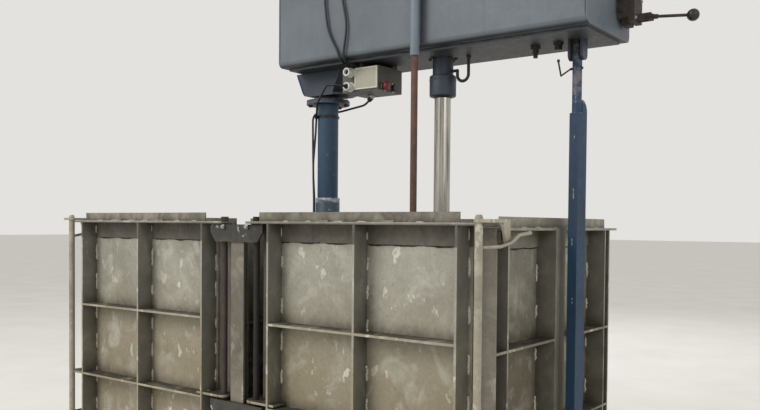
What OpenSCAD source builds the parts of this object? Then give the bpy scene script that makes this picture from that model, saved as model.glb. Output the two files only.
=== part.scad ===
// Twin-chamber recycling baler with one hydraulic press head on a swing column.
// X runs along the front, Y towards the back, Z up. The origin lies on the
// column axis, at the underside of the base.

/* [Chambers] */
// Distance from the column axis to the middle of each chamber
box_pitch = 790; // [785:1:830]
// Inner width of a chamber
in_w = 1140; // [1080:1:1145]
// Inner length of a chamber, front to back
in_l = 1252; // [1200:1:1300]
// Height of the flange round the chamber walls
wall_top = 1580; // [1500:5:1640]
// Thickness of the wall plates
wall_t = 6; // [4:1:8]
// Depth of the flat-bar ribs
rib_d = 100; // [80:1:104]
// Thickness of the flat-bar ribs
rib_t = 12; // [8:1:14]
// Height of the lip bars that stand on the wall flanges
lip_h = 48; // [30:1:70]
// Distance between the horizontal ribs of a wall
wall_rib_step = 420; // [380:5:440]
// Height of the lowest horizontal rib of a wall
wall_rib_low = 214; // [190:1:260]

/* [Base] */
// Height of the base frame
base_h = 120; // [100:5:140]
// Width of the base channels
base_w = 100; // [80:1:110]
// Thickness of the base plates and channel walls
base_t = 12; // [8:1:14]
// Thickness of the chamber floor plates
floor_t = 8; // [6:1:12]
// Radius of the anchor holes
anchor_r = 9; // [7:0.5:12]

/* [Doors] */
// Height of a door's top flange above the wall flange
door_rise = 20; // [14:1:40]
// Height of the door's lower edge above the floor it stands on
door_bottom = 135; // [130:1:170]
// Height of a door's lowest full rib
door_rib_low = 245; // [230:1:280]
// Distance between the horizontal ribs of a door
door_rib_step = 424; // [400:1:440]
// Width of the door plate
door_w = 1140; // [1100:1:1150]
// Distance from the door's middle to its outer stiles
door_stile = 545; // [500:1:555]
// Gap between the door plate and the front frame
door_gap = 1; // [1:0.5:4]

/* [Hinges] */
// Distance from the column axis to each hinge pin along X
pin_x = 119; // [112:1:125]
// Radius of a hinge pin
pin_r = 16; // [12:0.5:18]
// Running clearance between a pin and the bore that turns on it
run_gap = 0.05; // [0.02:0.01:0.1]
// Width of the hinge post between the doors
post_w = 94; // [80:1:100]

/* [Door locks] */
// Distance from the door's middle to the lock rod
lock_x = 653; // [650:1:665]
// Radius of the lock rod
lock_r = 17; // [14:0.5:19]
// Thickness of the hook straps
strap_t = 12; // [8:1:14]
// Gap between the hook straps and the walls' ribs
hook_gap = 26; // [22:1:30]

/* [Column] */
// Radius of the lower column tube
column_r = 70.5; // [66:0.5:74]
// Radius of the turning column tube
swivel_r = 60; // [54:0.5:62]
// Wall of the column tubes
column_t = 9; // [6:0.5:12]
// Top of the lower column tube
column_top = 1742; // [1700:1:1800]
// Radius of the swivel flanges
flange_r = 126; // [110:1:135]
// Thickness of each swivel flange
flange_t = 12; // [8:1:16]
// Height of the joint between the two swivel flanges
flange_z = 2294; // [2250:1:2310]

/* [Press head] */
// Height of the beam's underside
beam_z = 2475; // [2450:1:2500]
// Height of the beam
beam_h = 500; // [400:5:560]
// Width of the beam, front to back
beam_w = 520; // [480:1:540]
// Left end of the beam, measured from the column axis
beam_left = 150; // [140:1:200]
// Right end of the beam, measured from the column axis
beam_right = 1690; // [1660:1:1750]
// Plate thickness of the beam
beam_t = 8; // [6:1:12]
// Radius of the beam's bent lower edges
bend_r = 30; // [20:1:40]
// Thickness of the sole plate under the beam
sole_t = 12; // [8:1:14]

/* [Ram] */
// Radius of the ram rod
rod_r = 43; // [38:0.5:45]
// Outer radius of the gland collar
collar_r = 70; // [64:0.5:76]
// Height of the gland collar
collar_h = 110; // [90:1:120]
// Outer radius of the cylinder neck below the beam
neck_r = 54.5; // [52:0.5:58]
// Length of the neck between the beam's sole and the collar
neck_h = 91; // [80:1:110]
// Outer radius of the cylinder barrel
barrel_r = 80; // [76:0.5:90]
// Radius of the piston
piston_r = 62.5; // [56:0.5:66]
// Height of the piston
piston_h = 80; // [60:1:90]
// Travel of the ram from the pictured place, up and down alike
stroke = 560; // [400:5:560]
// Height of the platen's underside as pictured
platen_z = 1200; // [1150:5:1230]
// Clearance between the platen and the chamber walls
platen_gap = 25; // [15:1:40]

/* [Guide] */
// Distance of the guide rod from the column axis along X
guide_x = 815; // [800:1:825]
// Distance of the guide rod's axis in front of the beam
guide_gap = 42; // [36:1:55]
// Radius of the guide rod
guide_r = 17; // [12:0.5:18]
// Wall of the guide sleeve
sleeve_t = 6; // [4:0.5:8]

/* [Tie post] */
// Distance of the tie post's axis from the chamber wall's ribs
tie_gap = 71; // [64:1:84]
// Width of the box-section lower post
tie_w = 45; // [42:1:60]
// Depth of the box-section lower post, front to back
tie_d = 100; // [80:1:110]
// Top of the box-section lower post
tie_split = 2120; // [2080:1:2160]
// Outer radius of the upper tube
tie_r = 22.5; // [21:0.5:25]
// Radius of the stub that hangs inside the upper tube
stub_r = 17; // [14:0.5:18]
// Radius of the tie pin
tie_pin_r = 6; // [5:0.5:8]

/* [Control box] */
// Left side of the control box
ctrl_x = 240; // [235:1:260]
// Width of the control box
ctrl_w = 244; // [220:1:260]
// Front of the control box, measured in front of the column axis
ctrl_y = 160; // [150:1:170]
// Depth of the control box
ctrl_d = 218; // [200:1:230]
// Underside of the control box
ctrl_z = 2310; // [2300:1:2320]
// Height of the control box
ctrl_h = 130; // [120:1:135]
// Diameter of the control cables
cable_d = 12; // [8:1:13]

/* [Hidden] */
$fn = 48;

zinc = [0.60, 0.58, 0.54];
zinc_light = [0.72, 0.70, 0.65];
blue = [0.20, 0.29, 0.37];
slate = [0.42, 0.45, 0.47];
rust = [0.40, 0.31, 0.27];
steel = [0.72, 0.72, 0.72];
dark = [0.12, 0.12, 0.13];

half_w = in_w / 2;
skin_o = half_w + wall_t;
rib_o = skin_o + rib_d;
inner_x = box_pitch - rib_o;
outer_x = box_pitch + rib_o;
half_l = in_l / 2;
frame_y = half_l + rib_t;
rear_o = half_l + wall_t;
rear_y = rear_o + rib_d;
floor_z = base_h + floor_t;

anchor_x = outer_x - base_w / 2 - 16;
anchor_front = -frame_y + base_w / 2 + 8;
anchor_rear = rear_y - base_w / 2 - 8;

side_stile_front = half_l - 101;
side_mid_front = 45;
side_mid_w = 106;
side_stile_rear = half_l - 57;
lip_t = 6;
lip_inset = 29;
header_h = 80;

door_top = wall_top + door_rise;
door_back = frame_y + door_gap;
door_skin_y = door_back + wall_t;
door_front = door_skin_y + rib_d;
pin_y = door_back + 53;
hinge_t = 12;
hinge_drop = 78;
hinge_plate_y = pin_y + 23;
hinge_half = 192;
hinge_chamfer = 37;
band_t = 5;
band_drop = 102;
lug_gap = 16;
top_lug_gap = 4;
seat_gap = 0.3;
hinge_z = [door_top - rib_t - top_lug_gap, 660, 200];
lug_z = [door_top - rib_t, 660 + lug_gap, 200 + lug_gap];
lug_r = 48;
pin_head_r = 17;
pin_head_h = 24;

lock_y = door_front;
lock_low = 150;
lock_high = door_top + 25;
strap_x = outer_x + hook_gap;
hook_front = frame_y - 10;
hook_w = 42;
hook_neck = 62;
hook_h = 90;
strap_h = 14;
strap_z = [door_top + 15, 402];
keeper_t = 16;
keeper_y = half_l;
keeper_out = 10;
catch_gap = 6;
catch_in = 14;
catch_drop = 80;
handle_r = 8;
handle_z = lock_high - 126;
handle_x = strap_x + strap_t + handle_r + 3;

column_foot = 104;
band_r = 6;
band_h = 12;
upper_band_z = 2205;
lower_band_z = 700;
clip_wall = 5;
foot_t = 16;
shoulder_z = 1600;
swivel_fit = 0.5;

sole_z = beam_z - sole_t;
bracket_z = 2334;
bracket_low = 108;
bracket_high = 163;
bracket_half = 92;
bracket_t = 10;
shelf_x = 225;
shelf_t = 14;
beam_top = beam_z + beam_h;
ram_x = box_pitch;
neck_z = sole_z - neck_h;
collar_z = neck_z - collar_h;
barrel_z = beam_z + beam_t;
barrel_floor = barrel_z + 17;
rod_len = 1870;
piston_z = platen_z + rod_len;
barrel_top = piston_z + piston_h + stroke + 30;
cap_t = 30;
platen_t = 12;
platen_rib = 100;
platen_rib_t = 10;
platen_half_x = half_w - platen_gap;
platen_half_y = half_l - platen_gap;
socket_r = 60;
socket_h = 160;
cross_pin_r = 12;
spigot_r = 30;
guide_top = 3250;
sleeve_low = 2425;
guide_lug_h = 118;
guide_y = beam_w / 2 + guide_gap;
platen_rib_x = 255;

tie_x = outer_x + tie_gap;
tie_front = 30;
tie_back = tie_d - tie_front;
tie_cheek_t = 8;
tie_cheek_h = 64;
tie_foot = 92;
lug_thick = 12;
tie_lug_z = 2368;
tie_pin_z = 2332;
tie_pin_tip = 28;
tie_foot_t = 12;
tie_link_z = 392;

valve_y = 150;
valve_low = 2530;
valve_high = 2700;
valve_w = 130;
valve_d = 80;
lever_x = beam_right + 135;
lever_z = 2563;
lever_fall = 5.7;
lever_len = 195;
lever_r = 7;
knob_r = 28;

motor_rise = 112;
motor_z = beam_top + motor_rise;
motor_y = 60;
motor_x = 170;
motor_len = 260;
motor_r = 95;
pump_x = motor_x + motor_len + 60;
pump_r = 55;
pump_flange = 40;
pump_len = 150;
pump_foot = 50;
box_at = 35;
box_w = 120;
box_out = 138;
box_low = 90;
box_high = 14;
foot_at = 30;
foot_w = 40;
foot_out = 90;
foot_in = 50;
foot_high = 60;
pipe_r = 9;
pipe_rise = [60, 95];
pipe_out = 35;
pipe_drop = 50;

gland_x = 300;
gland_z = [ctrl_z + 27, ctrl_z + 105];
gland_r = 24;
gland_len = 45;
gland_bore = 15;
gland_rim = 2;
cover_gap = 1.5;
cover_x = gland_x + gland_r + gland_rim + cover_gap;
cable_r = cable_d / 2;
bend_step = 14;
stop_y = 107;
start_y = 26;
button_z = ctrl_z + 24;
stop_r = 24;
start_r = 22;
stem_r = 10;
button_gap = 8;
inlet_z = 300;
inlet_h = 130;
inlet_front = column_r + 100;
duct_x = [288, 362];
duct_y = 150;

inter_gland = [321, 0, ctrl_z - 7];
inter_lean = [-0.786, 0.061, -0.614];
supply_hold = [[-33, -66, upper_band_z + 6], [-0.46, 0.46, -0.76]];
supply_low = [[-57, -57, lower_band_z + 6], [0, 0, 1]];
interlock_low = [[-70, -38, lower_band_z + 6], [0, 0, 1]];

supply_corners = [[300, -187, 2337], [300, -262, 2337], [212, -262, 2345], [44, -147, 2276],
    [-40, -58, 2210], [-47, -56, 2120], [-68, -52, 1945], [-66, -52, 1840],
    [-57, -57, 1740], [-57, -57, 620], [10, -134, 530], [10, -134, inlet_z + inlet_h]];
supply_bends = [56, 70, 70, 52, 200, 300, 300, 300, 100, 60];
interlock_corners = [[314.7, 0.5, 2298.1], [270, 4, 2263.2], [40, 72, 2252], [-78, 78, 2246],
    [-78, -47, 2238], [-84, -36, 1990], [-80, -36, 1860], [-70, -38, 1750],
    [-70, -38, 600], [-38, -134, 500], [-38, -134, inlet_z + inlet_h]];
interlock_bends = [80, 200, 72, 50, 300, 300, 300, 150, 60];
motor_route_a = [[230, -78, 3038], [230, -110, 3038], [228, -160, 3038],
    [222, -226, 3038], [219, -244, 3034], [216, -260, 3024], [212, -270, 3008],
    [208, -274, 2990], [204, -274, 2930], [203, -274, 2870], [205, -274, 2800],
    [214, -274, 2720], [228, -274, 2645], [256, -274, 2580], [288, -274, 2528],
    [302, -274, 2500], [306, -270, 2482], [309, -260, 2466], [311, -244, 2456],
    [312, -226, 2452], [312, -180, 2451], [312, -150, 2451]];
motor_route_b = [[300, -78, 3038], [300, -110, 3038], [303, -160, 3038],
    [310, -226, 3038], [312, -244, 3034], [314, -260, 3024], [316, -270, 3008],
    [318, -274, 2990], [321, -274, 2930], [323, -274, 2870], [329, -274, 2780],
    [345, -274, 2710], [355, -274, 2650], [352, -274, 2590], [343, -274, 2540],
    [337, -274, 2500], [336, -270, 2482], [336, -260, 2466], [336, -244, 2456],
    [337, -226, 2452], [338, -180, 2451], [338, -150, 2451]];

// A flat plate given by its two corners.
module slab(a, b) {
    translate([min(a.x, b.x), min(a.y, b.y), min(a.z, b.z)])
        cube([abs(b.x - a.x), abs(b.y - a.y), abs(b.z - a.z)]);
}

// A round bar or bore along X.
module bar_x(x0, x1, y, z, r) {
    translate([min(x0, x1), y, z]) rotate([0, 90, 0]) cylinder(h = abs(x1 - x0), r = r);
}

// A round bar or bore along Y.
module bar_y(x, y0, y1, z, r) {
    translate([x, max(y0, y1), z]) rotate([90, 0, 0]) cylinder(h = abs(y1 - y0), r = r);
}

// A round bar or bore along Z.
module bar_z(x, y, z0, z1, r) {
    translate([x, y, min(z0, z1)]) cylinder(h = abs(z1 - z0), r = r);
}

// A round bar between two points.
module rod_between(a, b, r) {
    d = b - a;
    l = norm(d);
    translate(a)
        rotate([0, acos(d.z / l), atan2(d.y, d.x)])
            cylinder(h = l, r = r);
}

// A ball at a bend, slightly full, with its poles inside the two legs.
module bend_ball(at, lean, r) {
    l = norm(lean);
    translate(at) rotate([0, acos(lean.z / l), atan2(lean.y, lean.x)]) sphere(r = r * 1.03);
}

// A bent pipe: straight legs with a ball at each bend.
module bent_pipe(points, r) {
    for (i = [0 : len(points) - 2]) rod_between(points[i], points[i + 1], r);
    for (i = [1 : len(points) - 2])
        bend_ball(points[i], unit(points[i] - points[i - 1]) + unit(points[i + 1] - points[i]), r);
}

function unit(v) = v / norm(v);
function tangent(p, i) = unit(p[min(i + 1, len(p) - 1)] - p[max(i - 1, 0)]);
function square_to(n, t) = unit(n - (n * t) * t);
function normals(p, i = 0, n = [1, 0.1, 0.2]) =
    let (m = square_to(n, tangent(p, i)))
    i == len(p) - 1 ? [m] : concat([m], normals(p, i + 1, m));

// The points of one bend of radius r at corner b, from the leg a to b to the leg b to c.
function bend(a, b, c, r) =
    let (u = unit(a - b), v = unit(c - b), half = acos(u * v) / 2, turn = 180 - 2 * half,
        centre = b + unit(u + v) * r / sin(half),
        from = b + u * r / tan(half) - centre,
        to = b + v * r / tan(half) - centre,
        n = max(2, round(turn / bend_step)))
    [for (k = [0 : n]) centre + (sin(turn * (1 - k / n)) * from + sin(turn * k / n) * to) / sin(turn)];

// A cable's route: straight legs between the chosen corners, with a round bend at each inner one.
function bent_route(corners, bends) =
    let (last = len(corners) - 1)
    concat([corners[0]],
        [for (i = [1 : last - 1]) each bend(corners[i - 1], corners[i], corners[i + 1], bends[i - 1])],
        [corners[last]]);

// A plain tube swept along a cable's route, eight sides round.
module swept_cable(p, r) {
    sides = 8;
    n = normals(p);
    rings = [for (i = [0 : len(p) - 1])
        let (t = tangent(p, i), b = cross(t, n[i]))
        for (k = [0 : sides - 1])
            p[i] + r * (cos(360 * k / sides) * n[i] + sin(360 * k / sides) * b)];
    walls = [for (i = [0 : len(p) - 2], k = [0 : sides - 1])
        let (a = i * sides, c = (k + 1) % sides)
        [a + k, a + sides + k, a + sides + c, a + c]];
    first = [for (k = [0 : sides - 1]) k];
    last = [for (k = [sides - 1 : -1 : 0]) (len(p) - 1) * sides + k];
    polyhedron(points = rings, faces = concat([first], walls, [last]), convexity = 8);
}

// A flat rectangle given by its two corners.
module patch(a, b) {
    translate([min(a.x, b.x), min(a.y, b.y)]) square([abs(b.x - a.x), abs(b.y - a.y)]);
}

// Plan of the flanges of the base's middle bearers.
module bearer_plan() {
    for (s = [-1, 1])
        patch([s * (box_pitch - base_w / 2), -frame_y], [s * (box_pitch + base_w / 2), rear_y]);
}

// Plan of the base channels' flanges.
module base_flange_plan() {
    for (s = [-1, 1]) {
        patch([s * inner_x, -frame_y], [s * (inner_x + base_w), rear_y]);
        patch([s * (outer_x - base_w), -frame_y], [s * outer_x, rear_y]);
    }
    patch([-outer_x, -frame_y], [outer_x, -frame_y + base_w]);
    patch([-outer_x, rear_y - base_w], [outer_x, rear_y]);
    patch([-inner_x - 1, -column_foot - 30], [inner_x + 1, column_foot + 30]);
    patch([outer_x - 1, -tie_foot], [tie_x + tie_foot, tie_foot]);
}

// Plan of the base channels' webs.
module base_web_plan() {
    for (s = [-1, 1]) {
        patch([s * inner_x, -frame_y], [s * (inner_x + base_t), rear_y]);
        patch([s * (outer_x - base_t), -frame_y], [s * outer_x, rear_y]);
        patch([s * (box_pitch - base_w / 2), -frame_y], [s * (box_pitch - base_w / 2 + base_t), rear_y]);
        patch([-inner_x - 1, s * (column_foot + 30)], [inner_x + 1, s * (column_foot + 30 - base_t)]);
        patch([outer_x - 1, s * tie_foot], [tie_x + tie_foot, s * (tie_foot - base_t)]);
    }
    patch([-outer_x, -frame_y], [outer_x, -frame_y + base_t]);
    patch([-outer_x, rear_y - base_t], [outer_x, rear_y]);
}

// Round holes over one another at the base's four corners.
module corner_holes(r) {
    for (x = [-anchor_x, anchor_x], y = [anchor_front, anchor_rear]) translate([x, y]) circle(r = r);
}

module base_frame() {
    color(zinc) {
        linear_extrude(base_t) difference() {
            base_flange_plan();
            corner_holes(anchor_r);
        }
        translate([0, 0, base_t]) linear_extrude(base_h - 2 * base_t) base_web_plan();
        translate([0, 0, base_h - base_t]) linear_extrude(base_t) difference() {
            union() {
                base_flange_plan();
                bearer_plan();
            }
            corner_holes(anchor_r + 13);
        }
    }
}

// Draws its children as they are, or mirrored to the left side.
module scale_x(s) {
    if (s > 0) children();
    else mirror([1, 0, 0]) children();
}

module right_floor_plate() {
    slab([box_pitch - half_w, -half_l, base_h], [box_pitch + half_w, half_l, floor_z]);
}

module right_floor() { color(zinc) right_floor_plate(); }

module left_floor() { color(zinc) mirror([1, 0, 0]) right_floor_plate(); }

// A side wall of a chamber, plate at x = 0 and ribs towards +X.
module side_wall() {
    slab([0, -half_l, base_h], [wall_t, rear_o, wall_top]);
    slab([wall_t, -half_l, wall_top - rib_t], [wall_t + rib_d, rear_y, wall_top]);
    for (y = [-side_stile_front, side_stile_rear])
        slab([wall_t, y - rib_t / 2, base_h], [wall_t + rib_d, y + rib_t / 2, wall_top]);
    slab([wall_t, -side_mid_front - rib_t / 2, base_h],
        [wall_t + rib_d, -side_mid_front + rib_t / 2, wall_top]);
    slab([wall_t + rib_d - rib_t, -side_mid_front - rib_t / 2, base_h],
        [wall_t + rib_d, -side_mid_front + side_mid_w - rib_t / 2, wall_top]);
    for (k = [0 : 2])
        slab([wall_t, -half_l, wall_rib_low + k * wall_rib_step - rib_t],
            [wall_t + rib_d, rear_o, wall_rib_low + k * wall_rib_step]);
    slab([wall_t, rear_o - rib_t, base_h], [wall_t + rib_d, rear_o, wall_top]);
    slab([wall_t, -half_l, wall_top - band_drop + 7], [wall_t + band_t, rear_o, wall_top - rib_t]);
}

// The lip bar that stands on a side wall's flange.
module side_lip() {
    slab([wall_t + rib_d - lip_inset - lip_t, -half_l + 68, wall_top],
        [wall_t + rib_d - lip_inset, half_l, wall_top + lip_h]);
}

// Plates behind which the catches of the lock hooks turn.
module keepers() {
    for (z = strap_z)
        slab([wall_t, -keeper_y, z - hook_h - 6], [wall_t + rib_d + keeper_out, -keeper_y + keeper_t, z - 52]);
}

module outer_wall_at() {
    translate([box_pitch + half_w, 0, 0]) {
        side_wall();
        side_lip();
        keepers();
    }
}

module inner_wall_at() {
    translate([box_pitch - half_w, 0, 0]) mirror([1, 0, 0]) side_wall();
}

module right_outer_wall() { color(zinc) outer_wall_at(); }

module left_outer_wall() { color(zinc) mirror([1, 0, 0]) outer_wall_at(); }

module right_inner_wall() { color(zinc) inner_wall_at(); }

module left_inner_wall() { color(zinc) mirror([1, 0, 0]) inner_wall_at(); }

// The back wall of a chamber with its ribs and lip bar.
module rear_wall_at() {
    slab([box_pitch - half_w, half_l, base_h], [box_pitch + half_w, rear_o, wall_top]);
    slab([box_pitch - skin_o, rear_o, wall_top - rib_t], [box_pitch + skin_o, rear_y, wall_top]);
    for (k = [-1, 0, 1])
        slab([box_pitch + k * door_stile - rib_t / 2, rear_o, base_h],
            [box_pitch + k * door_stile + rib_t / 2, rear_y, wall_top]);
    for (k = [0 : 2])
        slab([box_pitch - skin_o, rear_o, wall_rib_low + k * wall_rib_step - rib_t],
            [box_pitch + skin_o, rear_y, wall_rib_low + k * wall_rib_step]);
    slab([box_pitch - half_w, rear_y - lip_inset - lip_t, wall_top],
        [box_pitch + half_w, rear_y - lip_inset, wall_top + lip_h]);
}

module right_rear_wall() { color(zinc) rear_wall_at(); }

module left_rear_wall() { color(zinc) mirror([1, 0, 0]) rear_wall_at(); }

// The flat frame that the door closes against.
module front_frame_at() {
    for (s = [-1, 1])
        slab([box_pitch + s * half_w, -frame_y, base_h], [box_pitch + s * rib_o, -half_l, wall_top]);
    slab([box_pitch - half_w, -frame_y, wall_top - header_h], [box_pitch + half_w, -half_l, wall_top]);
}

module right_front_frame() { color(zinc) front_frame_at(); }

module left_front_frame() { color(zinc) mirror([1, 0, 0]) front_frame_at(); }

module hinge_post() {
    color(zinc_light) difference() {
        union() {
            slab([-post_w / 2, -hinge_plate_y, base_h + 40],
                [post_w / 2, -hinge_plate_y + hinge_t, hinge_z[0] - hinge_t - hinge_drop + 20]);
            slab([-post_w / 2, -hinge_plate_y + hinge_t, base_h + 40],
                [-post_w / 2 + 8, -hinge_plate_y + 58, hinge_z[0] - hinge_t - hinge_drop + 20]);
        }
        for (z = [hinge_z[1], hinge_z[2]])
            slab([-hinge_half, -hinge_plate_y - 1, z - hinge_t], [hinge_half, -frame_y, z]);
    }
}

// One fixed hinge bracket: a bored top plate on a front plate with cut corners.
module hinge_bracket(z) {
    difference() {
        slab([-pin_x - 38, -hinge_plate_y, z - hinge_t], [pin_x + 38, -frame_y, z]);
        for (s = [-1, 1]) bar_z(s * pin_x, -pin_y, z - hinge_t - 1, z + 1, pin_r);
    }
    translate([0, -hinge_plate_y, z]) rotate([90, 0, 0]) linear_extrude(hinge_t)
        polygon([[-hinge_half, 0], [hinge_half, 0], [hinge_half, -hinge_drop + hinge_chamfer],
            [hinge_half - hinge_chamfer, -hinge_drop - hinge_t],
            [-hinge_half + hinge_chamfer, -hinge_drop - hinge_t],
            [-hinge_half, -hinge_drop + hinge_chamfer]]);
}

module hinge_brackets() {
    color(zinc) {
        for (z = hinge_z) hinge_bracket(z);
        for (s = [-1, 1])
            translate([s * 87, -hinge_plate_y - hinge_t, hinge_z[0] - hinge_t])
                rotate([90, 0, 0]) cylinder(h = 8, r = 10);
    }
}

// A full-height pin with a collar under each lug and a head on top.
module hinge_pin_at() {
    bar_z(pin_x, -pin_y, base_h + 30, door_top + 0.5, pin_r);
    bar_z(pin_x, -pin_y, door_top + 0.5, door_top + pin_head_h, pin_head_r + 3);
    bar_z(pin_x, -pin_y, hinge_z[0], lug_z[0] - seat_gap, pin_r + 8);
    bar_z(pin_x, -pin_y, hinge_z[1], lug_z[1] - seat_gap, pin_r + 8);
    bar_z(pin_x, -pin_y, hinge_z[2], lug_z[2] - seat_gap, pin_r + 8);
}

module right_hinge_pin() { color(dark) hinge_pin_at(); }

module left_hinge_pin() { color(dark) mirror([1, 0, 0]) hinge_pin_at(); }

// A door leaf: plate, stiles, ribs, top flange with lugs and a lip bar.
// rim_in is where the lip bar ends on the hinge side.
module door_at(rim_in) {
    stile_in = box_pitch - door_stile;
    stile_out = box_pitch + door_stile;
    difference() {
        union() {
            slab([box_pitch - door_w / 2, -door_skin_y, door_bottom], [box_pitch + door_w / 2, -door_back, door_top]);
            slab([pin_x - 30, -door_front, door_top - rib_t], [box_pitch + lock_x + lock_r + 8, -door_back, door_top]);
            for (x = [stile_in, box_pitch, stile_out])
                slab([x - rib_t / 2, -door_front, door_bottom], [x + rib_t / 2, -door_skin_y, door_top - rib_t]);
            for (k = [0 : 2])
                slab([stile_in, -door_front, door_rib_low + k * door_rib_step - rib_t],
                    [stile_out, -door_skin_y, door_rib_low + k * door_rib_step]);
            slab([stile_in, -door_front, door_bottom], [stile_out, -door_skin_y, door_bottom + rib_t]);
            slab([stile_in, -door_skin_y - band_t, door_top - band_drop], [stile_out, -door_skin_y, door_top - rib_t]);
            for (k = [1, 2]) {
                slab([pin_x, -pin_y - lug_r, lug_z[k]], [stile_in + 40, -pin_y + lug_r - 2, lug_z[k] + rib_t]);
                bar_z(pin_x, -pin_y, lug_z[k], lug_z[k] + rib_t, lug_r);
            }
            for (z = [door_rib_low, door_rib_low + door_rib_step])
                slab([stile_out, -door_front, z - rib_t], [box_pitch + lock_x + lock_r + 8, -door_skin_y, z]);
            slab([rim_in, -door_front + lip_inset, door_top], [stile_out, -door_front + lip_inset + lip_t, door_top + lip_h - 2]);
            for (x = [box_pitch - 190, box_pitch + 190])
                slab([x - 35, -door_front + 2, door_top], [x + 35, -door_front + 14, door_top + 8]);
        }
        bar_z(pin_x, -pin_y, door_bottom, door_top + 1, pin_r + run_gap);
        bar_z(box_pitch + lock_x, -lock_y, door_bottom, door_top + 1, lock_r + run_gap);
    }
}

module right_door() { color(zinc) door_at(pin_x + 40); }

module left_door() { color(zinc) mirror([1, 0, 0]) door_at(box_pitch - door_stile); }

// The lock rod with two hook arms that reach back along the side wall.
module lock_rod_at() {
    x0 = box_pitch + lock_x;
    bar_z(x0, -lock_y, lock_low, lock_high, lock_r);
    bar_z(x0, -lock_y, lock_high, lock_high + 8, lock_r - 4);
    bar_z(x0, -lock_y, door_top + seat_gap, strap_z[0], lock_r + 5);
    bar_z(x0, -lock_y, door_rib_low + seat_gap, door_rib_low + 20, lock_r + 6);
    for (z = strap_z) {
        slab([x0, -lock_y - lock_r + 1, z - strap_h], [strap_x + strap_t, -lock_y + lock_r - 1, z]);
        slab([strap_x, -lock_y + lock_r - 1, z - strap_h], [strap_x + strap_t, -hook_front + hook_w, z]);
        translate([strap_x, 0, z - strap_h]) rotate([90, 0, 90]) linear_extrude(strap_t) hook_plan();
        slab([strap_x - catch_in, -keeper_y + keeper_t + catch_gap, z - catch_drop - strap_h],
            [strap_x, -keeper_y + 2 * keeper_t + catch_gap, z - catch_drop + 26]);
    }
}

// The drop plate of a lock hook: wide at the strap, narrow and round below.
module hook_plan() {
    y = -hook_front + hook_w / 2;
    translate([y, -hook_h + hook_w / 2]) circle(r = hook_w / 2);
    polygon([[y - hook_w / 2, -hook_h + hook_w / 2], [y + hook_w / 2, -hook_h + hook_w / 2],
        [y + hook_w / 2, 1], [y + hook_w / 2 - hook_neck, 1], [y + hook_w / 2 - hook_neck, -12]]);
}

module right_lock_rod() { color(zinc_light) lock_rod_at(); }

module left_lock_rod() { color(zinc_light) mirror([1, 0, 0]) lock_rod_at(); }

// The bent lever that turns the lock rod.
module lock_handle_at() {
    x0 = box_pitch + lock_x;
    bent_pipe([[x0, -lock_y, handle_z], [handle_x - 6, -lock_y + 60, handle_z + 4],
        [handle_x, -lock_y + 138, handle_z + 18], [handle_x, -lock_y + 219, handle_z + 51],
        [handle_x, -lock_y + 322, handle_z + 59]], handle_r);
}

module right_lock_handle() {
    color(zinc_light) difference() {
        lock_handle_at();
        bar_z(box_pitch + lock_x, -lock_y, lock_low, lock_high, lock_r);
    }
}

module left_lock_handle() {
    color(zinc_light) mirror([1, 0, 0]) difference() {
        lock_handle_at();
        bar_z(box_pitch + lock_x, -lock_y, lock_low, lock_high, lock_r);
    }
}

module column_post() {
    color(blue) difference() {
        union() {
            slab([-column_foot, -column_foot, base_h], [column_foot, column_foot, base_h + foot_t]);
            bar_z(0, 0, base_h, column_top, column_r);
            for (a = [0 : 90 : 270]) rotate([0, 0, a])
                slab([column_r - 4, -5, base_h], [column_foot - 4, 5, base_h + 130]);
        }
        bar_z(0, 0, shoulder_z, column_top + 1, swivel_r + swivel_fit);
        bar_z(0, 0, base_h + foot_t, shoulder_z + 1, swivel_r + swivel_fit - column_t);
        for (x = [-1, 1], y = [-1, 1])
            bar_z(x * (column_foot - 22), y * (column_foot - 22), base_h - 1, base_h + foot_t + 1, 11);
    }
}

// Bolt heads that hold the column's foot to the base.
module column_bolts() {
    color(steel) for (x = [-1, 1], y = [-1, 1])
        translate([x * (column_foot - 22), y * (column_foot - 22), base_h + foot_t]) {
            cylinder(h = 3, r = 17);
            translate([0, 0, 3]) cylinder(h = 12, r = 15, $fn = 6);
        }
}

module column_tube() {
    color(blue) difference() {
        union() {
            bar_z(0, 0, shoulder_z, flange_z, swivel_r);
            bar_z(0, 0, flange_z - flange_t, flange_z, flange_r);
        }
        bar_z(0, 0, shoulder_z - 1, flange_z - flange_t, swivel_r - column_t);
        for (a = [30 : 60 : 330]) rotate([0, 0, a])
            bar_z(flange_r - 22, 0, flange_z - flange_t - 1, flange_z + 1, 8);
    }
}

module flange_bolts() {
    color(dark) for (a = [30 : 60 : 330]) rotate([0, 0, a]) translate([flange_r - 22, 0, 0]) {
        bar_z(0, 0, flange_z - flange_t, flange_z + flange_t, 8);
        translate([0, 0, flange_z - flange_t - 9]) cylinder(h = 9, r = 13, $fn = 6);
        translate([0, 0, flange_z + flange_t]) cylinder(h = 9, r = 13, $fn = 6);
    }
}

// Outline of the boxed head bracket seen from the front.
module bracket_outline(inset) {
    polygon([[-bracket_low + inset, bracket_z + inset], [bracket_low - inset, bracket_z + inset],
        [bracket_high - inset, sole_z - inset], [-bracket_high + inset, sole_z - inset]]);
}

// Plan of the pointed shelf plate that reaches out under the control box.
module shelf_plan() {
    polygon([[-bracket_low + 30, -bracket_half], [bracket_low, -bracket_half], [shelf_x, -24],
        [shelf_x, 24], [bracket_low, bracket_half], [-bracket_low + 30, bracket_half]]);
}

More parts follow.
